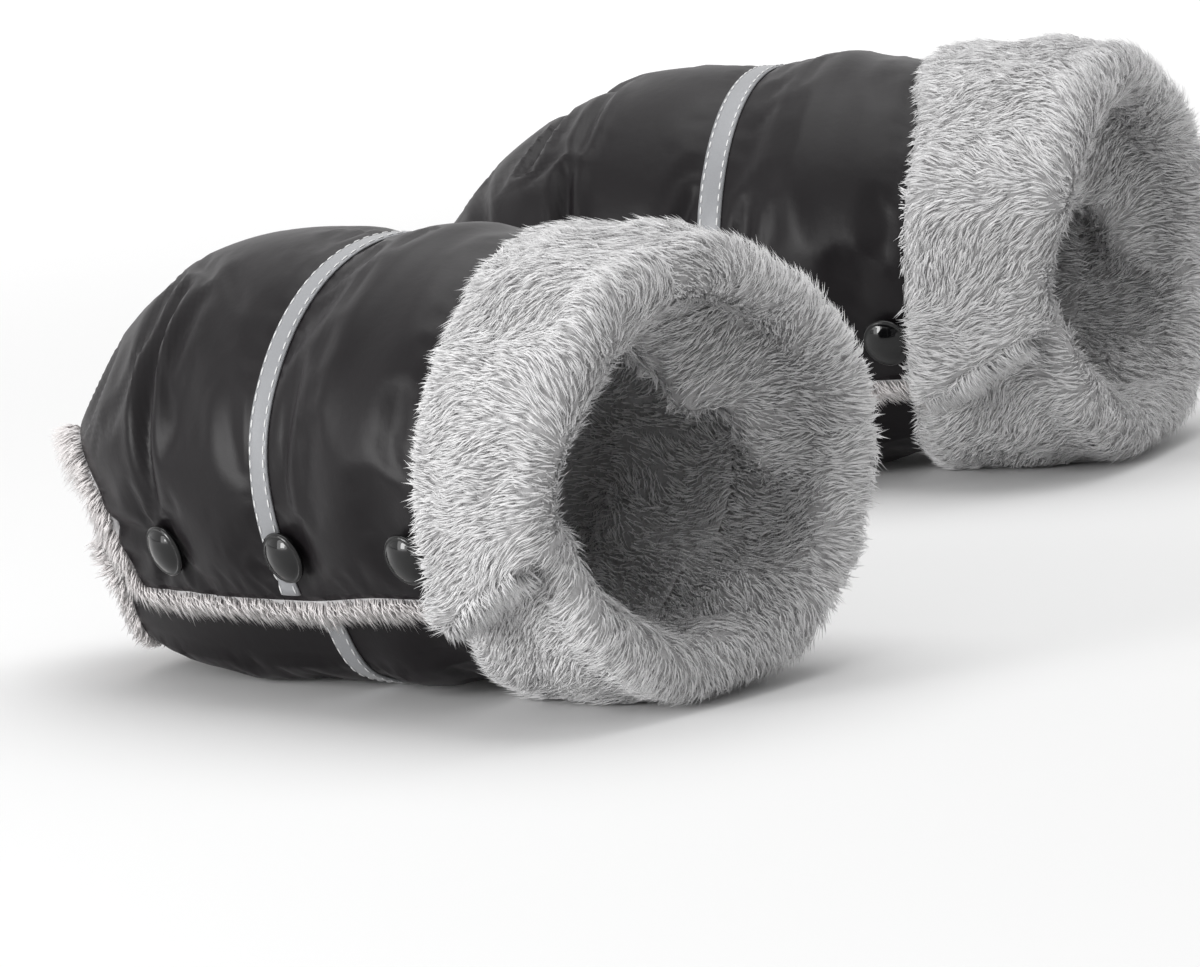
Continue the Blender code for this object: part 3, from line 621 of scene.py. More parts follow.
def padded_panel(name, outer, inner):
    """A closed piece between the cloth's outer face and the wadding's inner face."""
    piece, row, column = lay_grid(name, outer)
    wall = piece.modifiers.new("wadding", "SOLIDIFY")
    wall.offset = -1
    apply_modifiers(piece)
    points = get_points(piece)
    points[len(row):] = inner[row, column]
    set_points(piece, points)
    face_out(piece)
    return piece


def wrap(side):
    outer = panel_surface(side)
    full = mix(panel_depth + SHELL_THICKNESS + LAYER_GAP,
               wall_at(panel_station), PADDING_SHARE)
    flap = mix(SHELL_THICKNESS, flap_thickness(panel_station, panel_turn), PADDING_SHARE)
    inner = on_form(panel_station, panel_turn, -np.where(panel_turn < FLAP_START, full, flap))
    keep_above(outer, SHELL_OFF_FLOOR)
    made = {}
    for part, chosen in (("under", slice(0, seam_column + 1)), ("top", slice(seam_column, None))):
        made[part] = padded_panel(f"{side}_wrap_{part}", outer[:, chosen], inner[:, chosen])
        set_down(made[part], side, SHELL_CLOTH, BODY.get(part))
    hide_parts(side + "_outer_shell", side + "_padding")
    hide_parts(side + "_flap_shell", side + "_flap_padding")
    return outer


FACES = {side: wrap(side) for side in SIDES}
print("wrapped", {side: face.shape for side, face in FACES.items()})

# %% [markdown]
# ## The plush ground
# The lining and the turned-back cuff are one long-pile plush. Its knitted ground is a thin sheet:
# in the tunnel it lines the wadding, and at the mouth it rolls over the rim and back over the
# shell. Both are laid on the form a few millimetres below the CAD cuff, which stands for ground
# and pile together. The ground is lumpy, as padding under it is, with a few soft folds inside.

# %% Soft lumps
LUMP_WAVES, WAVE_SPREAD = 10, (0.6, 1.4)


def lumps(points, wavelength, seed):
    """A smooth random field from a few waves, about -1 to 1, the same on every run."""
    chance = np.random.default_rng(seed)
    way = chance.normal(size=(LUMP_WAVES, 3))
    rate = (2 * np.pi / wavelength) * chance.uniform(*WAVE_SPREAD, (LUMP_WAVES, 1))
    way *= rate / np.linalg.norm(way, axis=1, keepdims=True)
    phase = chance.uniform(0, 2 * np.pi, LUMP_WAVES)
    total = sum(np.cos(points @ way[wave] + phase[wave]) for wave in range(LUMP_WAVES))
    return total / math.sqrt(LUMP_WAVES)


# %% Shapes of the ground
GROUND_RISE, GROUND_INSIDE, RIM_LOW, LINING_PILE = 0.0030, 0.0140, 0.0040, 0.0038
RIM_DIP, RIM_DIP_DEGREES, RIM_DIP_SPREAD = 0.012, 112, 30
HEM_SLANT, HEM_ROLL, HEM_ROLL_DEGREES = 18, 0.0052, 8
CUFF_BULGE, CUFF_LUMP, LINING_LUMP = 0.0022, 0.0016, 0.0032
GROUND_THICKNESS, GROUND_OFF_FLOOR, MOUTH_SHARE = 0.0008, 0.0010, 0.8
FACE_ROWS, ROLL_ROWS, INNER_ROWS, LINING_ROWS = 26, 14, 12, 70
EDGE_ROWS, LUMPY_ROWS = 4, 5  # rows over which the hem's roll and the lumps begin
PAST_FACE, INSIDE = (24, 8), (30, 10)  # first row and rows of two fades
RISE_RATE, BULGE_RATE, CUFF_WAVE, LINING_WAVE = 9, 1.1, 0.035, 0.06
CUFF_SEED, LINING_SEED = 11, 12
INNER_LAP, LINING_LAP, NECK_MARGIN, NECK_SOFT = 0.022, 0.016, 0.003, 0.12
HEM_SOFT = (440, 20)  # the lumps fade out before the hem
FOLDS = [  # station and angle at both ends of a fold inside the mouth, height and width
    ((0.250, 298), (0.244, 388), 0.0150, 0.0085), ((0.262, 262), (0.236, 338), 0.0130, 0.0080),
    ((0.268, 300), (0.264, 372), -0.0030, 0.0060), ((0.250, 395), (0.205, 425), 0.0050, 0.0100),
    ((0.262, 205), (0.200, 232), 0.0060, 0.0120),
]


def fold_height(station, angle):
    height = np.zeros(np.broadcast(station, angle).shape)
    for start, end, rise, width in FOLDS:
        distance, _ = beside_line(station, angle, start, end, GIRTH_HEIGHT / 2 * MOUTH_SHARE)
        height = height + rise * np.exp(-(distance / width) ** 2)
    return height


def hem_climb(station):
    """Degrees that the flap cuff's hem has climbed at a station between cuff edge and rim."""
    return HEM_SLANT * between(station, plush_edge(HEM_END), MUFF_LENGTH - RIM_DIP)


ARCS = {"cuff": {"under": (HEM_DEGREES, TOP_START), "top": (TOP_START, HEM_END)},
        "lining": {"under": (TONGUE_DEGREES, TOP_START), "top": (TOP_START, HEM_END)}}
DEGREES_A_COLUMN = 2.0
END_STEPS, END_DEGREES = 4, {"under": 2.0, "top": 2.5}


def arc_angles(low, high):
    return np.linspace(low, high, int((high - low) / DEGREES_A_COLUMN) + 1)


def rounded_end(part):
    """The cuff's columns, a few more past its hem, and how thick each is there (1 to 0)."""
    low, high = ARCS["cuff"][part]
    angles = arc_angles(low, high)
    turn = np.linspace(0, np.pi / 2, END_STEPS + 1)[1:]
    past = END_DEGREES[part] * np.sin(turn)
    if part == "top":
        return np.concatenate([angles, high + past]), np.append(np.ones(len(angles)), np.cos(turn))
    return (np.concatenate([low - past[::-1], angles]),
            np.append(np.cos(turn)[::-1], np.ones(len(angles))))


def cuff_ground(part):
    """Rows from the plush's front edge over the rim and in to the lining."""
    angles, thick = rounded_end(part)
    edge, rows = plush_edge(angles), []
    sunk = np.where(angles < 360, tuck(RIM_START, angles), 0.0)
    face = GROUND_RISE - sunk
    roll = (face + GROUND_INSIDE) / 2
    from_dip = (angles % 360 - RIM_DIP_DEGREES) / RIM_DIP_SPREAD
    centre = MUFF_LENGTH - RIM_LOW - roll - RIM_DIP * np.exp(-from_dip ** 2)
    for share in np.linspace(0, 1, FACE_ROWS):
        bulge = CUFF_BULGE * np.sin(np.pi * min(share * BULGE_RATE, 1))
        rise = ease(share * RISE_RATE) * (GROUND_RISE + bulge)
        rows.append((mix(edge, centre, share), rise - sunk))
    for turn in np.linspace(0, np.pi, ROLL_ROWS)[1:]:
        rows.append((centre + roll * np.sin(turn), face - roll * (1 - np.cos(turn))))
    for share in np.linspace(0, 1, INNER_ROWS)[1:]:
        rows.append((mix(centre, RIM_START - INNER_LAP, share), np.full_like(edge, -GROUND_INSIDE)))
    station = np.array([row[0] * np.ones_like(angles) for row in rows])
    out = np.array([row[1] * np.ones_like(angles) for row in rows])
    row = np.arange(len(rows))[:, None]
    low, high = ARCS["cuff"][part]
    share = np.clip((angles - low) / (high - low), 0, 1)
    turned = angles - hem_climb(station) * (share if part == "top" else 1 - share)
    if part == "top":
        near_hem = np.exp(-((angles - high) / HEM_ROLL_DEGREES) ** 2)
        out = out + HEM_ROLL * near_hem * ease(row / EDGE_ROWS) * (
            1 - ease((row - PAST_FACE[0]) / PAST_FACE[1]))
    points = on_form(station, turned, out)
    out = out + CUFF_LUMP * lumps(points, CUFF_WAVE, CUFF_SEED) * ease(row / LUMPY_ROWS)
    out = out - ease((row - INSIDE[0]) / INSIDE[1]) * fold_height(station, turned)
    middle = (face - GROUND_INSIDE) / 2
    out = middle + (out - middle) * thick
    points = on_form(station, turned, out)
    keep_above(points, GROUND_OFF_FLOOR)
    return points


def lining_ground(part):
    """Rows from deep in the mouth to the neck, on the wall's inner side."""
    angles = arc_angles(*ARCS["lining"][part])
    front = np.maximum(neck_edge(angles), 0.0) + NECK_MARGIN
    share = np.linspace(0, 1, LINING_ROWS)[:, None]
    station = mix(RIM_START - LINING_LAP, front[None, :], share)
    turned = np.broadcast_to(angles, station.shape)
    wall = np.where(turned > FLAP_START, flap_thickness(station, turned), wall_at(station))
    out = -(wall - LINING_PILE)
    points = on_form(station, turned, out)
    near_hem = np.where(turned > HEM_SOFT[0], 1 - ease((turned - HEM_SOFT[0]) / HEM_SOFT[1]), 1)
    soft = ease(station / NECK_SOFT) * near_hem
    out = out - LINING_LUMP * soft * (0.5 + 0.5 * lumps(points, LINING_WAVE, LINING_SEED))
    out = out - soft * fold_height(station, turned)
    return on_form(station, turned, out)


def ground_piece(name, points, side, body):
    piece, _, _ = lay_grid(name, points)
    sheet = piece.modifiers.new("ground", "SOLIDIFY")
    sheet.thickness, sheet.offset = GROUND_THICKNESS, 1
    apply_modifiers(piece)
    face_out(piece)
    set_down(piece, side, PLUSH_GROUND, body)
    return piece


SHAPES = {"cuff": cuff_ground, "lining": lining_ground}
REPLACED = {("cuff", "under"): "fur_cuff", ("cuff", "top"): "flap_cuff",
            ("lining", "under"): "fur_lining", ("lining", "top"): "flap_lining"}
GROUNDS = {}
for side in SIDES:
    for kind, part in REPLACED:
        GROUNDS[side, kind, part] = SHAPES[kind](part)
        piece = ground_piece(f"{side}_{kind}_ground_{part}", GROUNDS[side, kind, part], side,
                             BODY.get(part))
        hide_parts(f"{side}_{REPLACED[kind, part]}")
print("ground sheets", len(GROUNDS))

# %% [markdown]
# ## The pile
# Plush is made of fine fibres that stick together in tapered locks. One lock is modelled, a thin
# three-sided spike with a bend in it, and then planted thousands of times over the ground. Each
# copy leans along the pile, swirls a little with its neighbours, and its tip is drawn towards
# the middle of its tuft, which gives the parted, brushed look. Lengths stay inside the CAD cuff.

# %% One lock
def model_lock():
    """A three-sided spike one unit long with its bend line at the middle."""
    deselect()
    bpy.ops.mesh.primitive_cylinder_add(vertices=3, radius=0.5, depth=1, location=(0, 0, 0.5),
                                        end_fill_type="NGON")
    lock = bpy.context.object
    bpy.ops.object.transform_apply(location=True, rotation=False, scale=False)
    with editing(lock):
        bpy.ops.mesh.bisect(plane_co=(0, 0, 0.5), plane_no=(0, 0, 1))
        bpy.ops.mesh.select_all(action="DESELECT")
    for vertex in lock.data.vertices:
        vertex.select = vertex.co.z > 0.9
    with editing(lock, None):
        bpy.ops.mesh.merge(type="CENTER")
        bpy.ops.mesh.select_all(action="SELECT")
        bpy.ops.mesh.quads_convert_to_tris()
        bpy.ops.mesh.normals_make_consistent(inside=False)
    points = get_points(lock)
    faces = np.array([list(face.vertices) for face in lock.data.polygons])
    bpy.data.objects.remove(lock)
    return points, faces


LOCK_POINTS, LOCK_FACES = model_lock()
print("a lock has", len(LOCK_POINTS), "points and", len(LOCK_FACES), "faces")


# %% Plant locks
TUFT_SIZE, TUFT_PULL = 0.0056, 0.38
TUFT_TONE, TONE_WAVE, TONE_SEED = 0.45, 0.014, 31
TUFT_SEEDS, CELL_STRIDE = (21, 22, 23), 4096
MAP_MARGIN, MAP_ENDS = 0.02, 0.01
TUFT_WARP, TUFT_WAVE, PULL_RANGE = 0.004, 0.018, (0.3, 1.3)
SIZE_RANGE, BREADTH_RANGE, FLATNESS = (0.72, 1.18), (0.7, 1.3), 0.5
STAND_RANGE, STAND_SCATTER, LEAN_SCATTER, TWIST_SCATTER = (0.12, 0.9), 0.07, 0.15, 0.3
BEND_RISE, BEND_STAND, BEND_SHARE = 0.30, 0.25, 0.18
FLOOR_LIFT = 0.0004


def unit(vectors):
    return vectors / np.maximum(np.linalg.norm(vectors, axis=-1, keepdims=True), 1e-12)


def sow(points, density, seed):
    """Random roots over a grid of points, with the sheet's normal and its row direction."""
    chance = np.random.default_rng(seed)
    a, b, c, d = points[:-1, :-1], points[:-1, 1:], points[1:, 1:], points[1:, :-1]
    normal = np.cross(c - a, d - b)
    area = np.linalg.norm(normal, axis=-1) / 2
    wanted = area * density if np.isscalar(density) else area * density(points)
    count = chance.poisson(wanted)
    row, column = np.repeat(np.indices(count.shape).reshape(2, -1), count.ravel(), axis=1)
    u, v = chance.uniform(size=(2, len(row), 1))
    root = mix(mix(a[row, column], b[row, column], u), mix(d[row, column], c[row, column], u), v)
    along = unit(mix(d - a, c - b, 0.5)[row, column])
    return root, unit(normal)[row, column], along, chance


def plant(name, root, normal, lean, chance, length, width, lift, side, body, material):
    """Copies of the lock on their roots; lift is the share of a lock's length that stands up."""
    count = len(root)
    size = length * chance.uniform(*SIZE_RANGE, (count, 1))
    stand = np.clip(lift + chance.normal(0, STAND_SCATTER, (count, 1)), *STAND_RANGE)
    lean = unit(lean + LEAN_SCATTER * chance.normal(size=(count, 3)))
    tip = root + size * (normal * stand + unit(lean) * np.sqrt(1 - stand ** 2))
    warp = np.stack([lumps(root, TUFT_WAVE, seed) for seed in TUFT_SEEDS], -1)
    warped = root + TUFT_WARP * warp
    cell = np.floor(warped / TUFT_SIZE).astype(np.int64)
    numbered = cell @ np.array([1, CELL_STRIDE, CELL_STRIDE ** 2])
    tuft = np.unique(numbered, return_inverse=True)[1].ravel()
    members = np.bincount(tuft)[:, None]
    middle = np.stack([np.bincount(tuft, tip[:, axis]) for axis in range(3)], -1) / members
    pull = TUFT_PULL * chance.uniform(*PULL_RANGE, (count, 1))
    tip = mix(tip, middle[tuft], pull)
    bend = root + normal * size * (BEND_RISE + BEND_STAND * stand) + (tip - root) * BEND_SHARE
    chord = unit(tip - root)
    wide = unit(np.cross(chord, normal + TWIST_SCATTER * chance.normal(size=(count, 3))))
    thin = np.cross(chord, wide)
    share = LOCK_POINTS[:, 2][None, :, None]
    spine = ((1 - share) ** 2 * root[:, None] + 2 * share * (1 - share) * bend[:, None]
             + share ** 2 * tip[:, None])
    breadth = width * chance.uniform(*BREADTH_RANGE, (count, 1, 1))
    points = (spine + LOCK_POINTS[:, 0][None, :, None] * breadth * wide[:, None]
              + LOCK_POINTS[:, 1][None, :, None] * breadth * FLATNESS * thin[:, None])
    keep_above(points, FLOOR_LIFT)
    faces = LOCK_FACES[None] + np.arange(count)[:, None, None] * len(LOCK_POINTS)
    tuft_tone = 0.5 + TUFT_TONE * lumps(root, TONE_WAVE, TONE_SEED)
    tone = np.clip(mix(chance.uniform(size=count), tuft_tone, 0.5), 0, 1)
    return planted_mesh(name, points.reshape(-1, 3), faces.reshape(-1, 3), tone, side, body,
                        material)


def planted_mesh(name, points, faces, tone, side, body, material):
    mesh = bpy.data.meshes.new(name)
    mesh.vertices.add(len(points))
    mesh.vertices.foreach_set("co", points.astype(np.float32).ravel())
    mesh.loops.add(faces.size)
    mesh.loops.foreach_set("vertex_index", faces.astype(np.int32).ravel())
    mesh.polygons.add(len(faces))
    mesh.polygons.foreach_set("loop_start", np.arange(0, faces.size, 3, dtype=np.int32))
    mesh.update(calc_edges=True)
    size = len(LOCK_POINTS)
    across = MAP_MARGIN * LOCK_POINTS[:, 0]
    places = np.empty((faces.size, 2), np.float32)
    lock, corner = np.divmod(faces.ravel(), size)
    places[:, 0] = MAP_MARGIN + (1 - 2 * MAP_MARGIN) * tone[lock] + across[corner]
    places[:, 1] = (1 - 2 * MAP_ENDS) * LOCK_POINTS[corner, 2] + MAP_ENDS
    layer = mesh.uv_layers.new(name="OFBake")
    layer.data.foreach_set("uv", places.ravel())
    piece = link_piece(name, mesh)
    set_down(piece, side, material, body)
    return len(faces)


def swirled(root, normal, along, spread, seed):
    """The pile's direction, turned about the normal by a field that changes slowly."""
    turn = (spread * lumps(root, SWIRL_WAVE, seed)
            + CURL_SHARE * spread * lumps(root, CURL_WAVE, seed + 1))
    return (along * np.cos(turn)[:, None] + np.cross(normal, along) * np.sin(turn)[:, None])


# %% Pile on the cuff and the lining
LOCK_LENGTH, LOCK_WIDTH, LOCK_LIFT = 0.0082, 0.00052, 0.28
EDGE_NAP, EDGE_NAP_REACH, EDGE_NAP_DEGREES = 0.62, 0.012, 40
SWIRL, SWIRL_WAVE, CURL_SHARE, CURL_WAVE = 0.56, 0.055, 0.55, 0.013
CUFF_DENSITY, LINING_DENSITY, DEEP_DENSITY = 8.2e5, 4.6e5, 1.0e5
DEEP_STATION, DEEP_FADE, NECK_SEEN, NECK_FADE = 0.155, 0.03, 0.035, 0.02
LOCKS_A_PIECE, PILE_SEED, PILE_SEED_STEP = 18000, 100, 10
THINNER = 1.0


def lining_density(points):
    """Thick where the mouth or the neck lets it be seen, thin in the dark between."""
    station = points[:-1, :-1, 0]
    seen = ease((station - DEEP_STATION) / DEEP_FADE)
    seen = seen + 1 - ease((station - NECK_SEEN) / NECK_FADE)
    return mix(DEEP_DENSITY, LINING_DENSITY, seen) * THINNER


def nap_share(root):
    """Share of a lock's full length: short at the turned-back edge, but not at the studs."""
    angle = np.degrees(np.arctan2(-root[:, 1:2], root[:, 2:] - GIRTH_HEIGHT / 2))
    edge = mix(1.0, EDGE_NAP, ease(abs(angle - SNAP_DEGREES) / EDGE_NAP_DEGREES))
    return mix(edge, 1.0, ease((root[:, :1] - plush_edge(angle)) / EDGE_NAP_REACH))


def plant_ground(side, kind, part, seed):
    points = GROUNDS[side, kind, part]
    density = CUFF_DENSITY * THINNER if kind == "cuff" else lining_density
    root, normal, along, chance = sow(points, density, seed)
    lean = swirled(root, normal, -along, SWIRL, seed)
    length = LOCK_LENGTH * (nap_share(root) if kind == "cuff" else np.ones((len(root), 1)))
    total, pieces = 0, max(1, math.ceil(len(root) / LOCKS_A_PIECE))
    for index in range(pieces):
        chosen = slice(index * len(root) // pieces, (index + 1) * len(root) // pieces)
        total += plant(f"{side}_{kind}_pile_{part}_{index + 1}", root[chosen], normal[chosen],
                       lean[chosen], chance, length[chosen], LOCK_WIDTH / THINNER ** 0.5, LOCK_LIFT,
                       side, BODY.get(part), PLUSH)
    return total


triangles = 0
for order, (side, kind, part) in enumerate(GROUNDS):
    triangles += plant_ground(side, kind, part, PILE_SEED + PILE_SEED_STEP * order)
print("pile triangles", triangles)

# %% [markdown]
# ## Plush trim
# The flap's hem and the slanted neck opening are bound with a narrow roll of the same plush, with
# shorter locks that fan out past the cloth's edge. The binding is laid in three parts: under,
# along the neck edge from the tongue; top, along the neck edge over the top, round the flap's
# corner and back along the hem; and cuff, up the hem of the flap's cuff to the rim.

# %% The binding's path
TRIM_ROLL, TRIM_SINK = 0.0026, 0.0016
TRIM_LENGTH, TRIM_WIDTH, TRIM_PER_METRE, TRIM_STAND = 0.0078, 0.00062, 17000, 0.42
CUFF_LAP, HEM_LAP, HEM_START, RIM_STOP, CLIMB_LENGTH = 0.001, 0.004, 0.002, 0.010, 0.010
CORNER_SMOOTHING, TONGUE_STOP, CORNER_STOP = 12, 2, 1.5
UNDER_STEPS, TOP_STEPS, HEM_STEPS, CUFF_STEPS = 90, 110, 90, 40
ROLL_OUT, ROLL_DEPTH, ROLL_SPARE, ROLL_POINTS = 0.6, (0.002, 0.0045), 0.0006, 12
FAN, ROOT_DEPTH, OUT_LEAN = (-0.9, 2.2), 0.9, 0.9
SLANT, SLANT_SWING, SLANT_WAVE = 0.55, 0.5, 0.02
TRIM_SEED, CUFF_TRIM_SEED = 300, 320


def trim_path(part):
    """Points (station, angle) of the cloth's edge, and the way out past it as (along, round)."""
    if part == "under":
        angle = np.linspace(TONGUE_DEGREES + TONGUE_STOP, TOP_START, UNDER_STEPS)
        return neck_edge(angle), angle, np.tile((-1.0, 0.0), (len(angle), 1))
    if part == "cuff":
        start, end = plush_edge(HEM_END) + CUFF_LAP, MUFF_LENGTH - RIM_DIP - RIM_STOP
        station = np.linspace(start, end, CUFF_STEPS)
        return station, HEM_END - hem_climb(station), np.tile((0.0, 1.0), (len(station), 1))
    angle = np.linspace(TOP_START, HEM_END - CORNER_STOP, TOP_STEPS)
    start, end = neck_edge(HEM_END) + HEM_START, plush_edge(HEM_END) + HEM_LAP
    hem = np.linspace(start, end, HEM_STEPS)
    stations = np.concatenate([neck_edge(angle), hem])
    angles = np.concatenate([angle, np.full(len(hem), float(HEM_END))])
    forward, around = np.tile((-1.0, 0.0), (len(angle), 1)), np.tile((0.0, 1.0), (len(hem), 1))
    out = np.concatenate([forward, around])
    for _ in range(CORNER_SMOOTHING):
        out[1:-1] = (out[:-2] + out[1:-1] + out[2:]) / 3
    return stations, angles, out


def trim_frame(part):
    """The middle line of the roll, with the way out of the cloth and the cloth's normal."""
    station, angle, out = trim_path(part)
    sunk = np.where(angle < 360, tuck(station, angle), 0.0)
    thick = np.where(angle > FLAP_START, flap_thickness(station, angle), wall_at(station))
    on_cuff = (GROUND_RISE + HEM_ROLL) * ease((station - plush_edge(HEM_END)) / CLIMB_LENGTH)
    height = np.where(angle > FLAP_START, on_cuff, 0.0) - sunk - TRIM_SINK
    middle = on_form(station, angle, height)
    normal = unit(on_form(station, angle, height + NORMAL_STEP) - middle)
    forward = on_form(station - NORMAL_STEP / 2, angle, -sunk) - on_form(station, angle, -sunk)
    around = on_form(station, angle + 1, -sunk) - on_form(station, angle, -sunk)
    outward = unit(unit(forward) * -out[:, :1] + unit(around) * out[:, 1:])
    outward = unit(outward - normal * np.sum(outward * normal, -1, keepdims=True))
    return middle + outward * TRIM_ROLL * ROLL_OUT, outward, normal, thick


def make_trim(side, part, seed):
    middle, outward, normal, thick = trim_frame(part)
    turns = np.linspace(0, 2 * np.pi, ROLL_POINTS + 1)
    along = unit(np.gradient(middle, axis=0))
    deep = np.clip(thick / 2 - ROLL_SPARE, *ROLL_DEPTH)[:, None, None]
    ring = (middle[:, None] - normal[:, None] * (deep - TRIM_ROLL * ROLL_OUT)
            + outward[:, None] * np.cos(turns)[None, :, None] * TRIM_ROLL
            + normal[:, None] * np.sin(turns)[None, :, None] * deep)
    roll, _, _ = lay_grid(f"{side}_trim_roll_{part}", ring[:, :-1])
    close_roll(roll, ROLL_POINTS)
    set_down(roll, side, PLUSH_GROUND, BODY.get(part))
    chance = np.random.default_rng(seed)
    steps = np.linalg.norm(np.diff(middle, axis=0), axis=1)
    count = int(steps.sum() * TRIM_PER_METRE * THINNER)
    reached = np.concatenate([[0], np.cumsum(steps)])
    place = np.interp(chance.uniform(0, steps.sum(), count), reached, np.arange(len(middle)))

    def at(values):
        low = np.minimum(place.astype(int), len(values) - 2)
        share = (place - low)[:, None]
        return mix(values[low], values[low + 1], share)

    fan = chance.uniform(*FAN, (count, 1))
    way = unit(at(outward) * np.cos(fan) + at(normal) * np.sin(fan))
    centre = at(middle) - at(normal) * (at(deep[:, 0]) - TRIM_ROLL * ROLL_OUT)
    root = (centre + at(outward) * np.cos(fan) * TRIM_ROLL * ROOT_DEPTH
            + at(normal) * np.sin(fan) * at(deep[:, 0]) * ROOT_DEPTH)
    slant = at(along) * (SLANT + SLANT_SWING * lumps(root, SLANT_WAVE, seed)[:, None])
    lean = unit(slant + at(outward) * OUT_LEAN)
    return plant(f"{side}_trim_pile_{part}", root, way, lean, chance, TRIM_LENGTH,
                 TRIM_WIDTH / THINNER ** 0.5, TRIM_STAND, side, BODY.get(part),
                 PLUSH if part == "cuff" else TRIM_PLUSH)


def close_roll(roll, columns):
    """Join the grid's long edges into a tube and fill its two ends."""
    with editing(roll, None):
        bpy.ops.mesh.select_mode(type="EDGE")
        bpy.ops.mesh.select_all(action="DESELECT")
    for edge in roll.data.edges:
        first, second = edge.vertices
        edge.select = (first % columns == second % columns) and first % columns in (0, columns - 1)
    with editing(roll, None):
        bpy.ops.mesh.bridge_edge_loops()
        bpy.ops.mesh.select_all(action="DESELECT")
        bpy.ops.mesh.select_non_manifold()
        bpy.ops.mesh.edge_face_add()
        bpy.ops.mesh.select_mode(type="VERT")
    face_out(roll)


for order, side in enumerate(SIDES):
    for part, node in (("under", "neck_fur"), ("top", "hem_fur")):
        triangles += make_trim(side, part, TRIM_SEED + order)
        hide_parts(f"{side}_{node}")
    triangles += make_trim(side, "cuff", CUFF_TRIM_SEED + order)
print("triangles with trims", triangles)

# %% [markdown]
# ## Reflective strip and its stitches
# A silvery tape is sewn round each muff with a white running stitch along both edges. The tape
# follows the simulated cloth, row for row. One stitch is modelled, a flattened grain of thread,
# and copied at an even pitch.

# %% Tape and thread materials
TAPE = speckled("muff_reflective_tape", (2400,), (0.22, 0.225, 0.235), (0.31, 0.315, 0.33),
                gloss=(0.34, 0.2, 900), metal=0.35, relief=(2400, 0.25, 0.0002), Sheen_Weight=0.2)
THREAD = speckled("muff_thread", (3000,), (0.60, 0.60, 0.60), (0.86, 0.86, 0.86), Roughness=0.6)

# %% The tape
TAPE_LIFT, TAPE_BODY, TAPE_DEPTH, TAPE_OFF_FLOOR = 0.0003, 0.0007, 0.8, 0.0002
TAPE_CROWN = np.array([0.45, 0.9, 1, 1, 1, 1, 1, 0.9, 0.45])
TAPE_START, TAPE_SET_BACK = 135, 0.8  # degrees
TAPE_PARTS = {"under": (TAPE_START, TOP_START), "top": (TOP_START, HEM_END - TAPE_SET_BACK)}
first_row = int(PANEL_ROWS * FRONT_SHARE) - 1


def tape_points(side, part):
    """Nine rows across the tape, on the panel's own rows, with a low crown."""
    low, high = TAPE_PARTS[part]
    chosen = (panel_angle >= low) & (panel_angle <= high)
    chosen[seam_column] = True
    columns = np.flatnonzero(chosen)
    rows = FACES[side][first_row:first_row + STRIP_ROWS][:, columns]
    share = np.linspace(0, STRIP_ROWS - 1, len(TAPE_CROWN))
    below = np.minimum(share.astype(int), STRIP_ROWS - 2)
    points = mix(rows[below], rows[below + 1], (share - below)[:, None, None])
    normal = unit(np.cross(np.gradient(points, axis=1), np.gradient(points, axis=0)))
    centre = np.array([0, 0, GIRTH_HEIGHT / 2])
    away = np.sum(normal * ((points - centre) * (0, 1, 1)), -1, keepdims=True)
    return points, normal * np.sign(away)


def make_tape_piece(side, part):
    points, normal = tape_points(side, part)
    face = points + normal * (TAPE_LIFT + TAPE_BODY * TAPE_CROWN)[:, None, None]
    keep_above(face, TAPE_OFF_FLOOR)
    tape = padded_panel(f"{side}_tape_{part}", face, face - normal * TAPE_BODY * TAPE_DEPTH)
    set_down(tape, side, TAPE, BODY.get(part))
    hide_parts(side + ("_strip_body" if part == "under" else "_strip_flap"))
    return face, normal


# %% One stitch, and the seams
STITCH_LENGTH, STITCH_WIDTH, STITCH_PITCH, STITCH_LIFT = 0.0030, 0.00070, 0.0044, 0.0001
THREAD_FLATNESS, THREAD_BLUNTING = 0.75, 1.15
STITCH_ROWS = {"front": 1, "rear": 7}


def model_stitch():
    deselect()
    bpy.ops.mesh.primitive_uv_sphere_add(segments=8, ring_count=5, radius=0.5)
    stitch = bpy.context.object
    with editing(stitch):
        bpy.ops.transform.resize(value=(1, 1, THREAD_FLATNESS))
    points = get_points(stitch)
    faces = [tuple(face.vertices) for face in stitch.data.polygons]
    bpy.data.objects.remove(stitch)
    points[:, 0] = np.sign(points[:, 0]) * np.minimum(abs(points[:, 0]) * THREAD_BLUNTING, 0.5)
    return points, faces


STITCH_POINTS, STITCH_FACES = model_stitch()


def read_at(place, steps, values):
    return np.array([np.interp(place, steps, values[:, axis]) for axis in range(3)])


def sew(name, line, normal, side, body):
    """Stitches at an even pitch along a line of points on the tape."""
    steps = np.concatenate([[0], np.cumsum(np.linalg.norm(np.diff(line, axis=0), axis=1))])
    places = np.arange(STITCH_PITCH / 2, steps[-1], STITCH_PITCH)
    points, faces = [], []
    for place in places:
        start, end = (read_at(place + shift, steps, line)
                      for shift in (-STITCH_LENGTH / 2, STITCH_LENGTH / 2))
        up = unit(read_at(place, steps, normal))
        across = np.cross(up, unit(end - start))
        base = len(points) * len(STITCH_POINTS)
        spine = read_at(place, steps, line) + STITCH_POINTS[:, :1] * (end - start)
        points.append(spine + STITCH_POINTS[:, 1:2] * STITCH_WIDTH * across
                      + STITCH_POINTS[:, 2:] * STITCH_WIDTH * up)
        faces += [tuple(corner + base for corner in face) for face in STITCH_FACES]
    mesh = bpy.data.meshes.new(name)
    mesh.from_pydata(np.concatenate(points).tolist(), [], faces)
    seam = link_piece(name, mesh)
    set_down(seam, side, THREAD, body)
    return len(places)


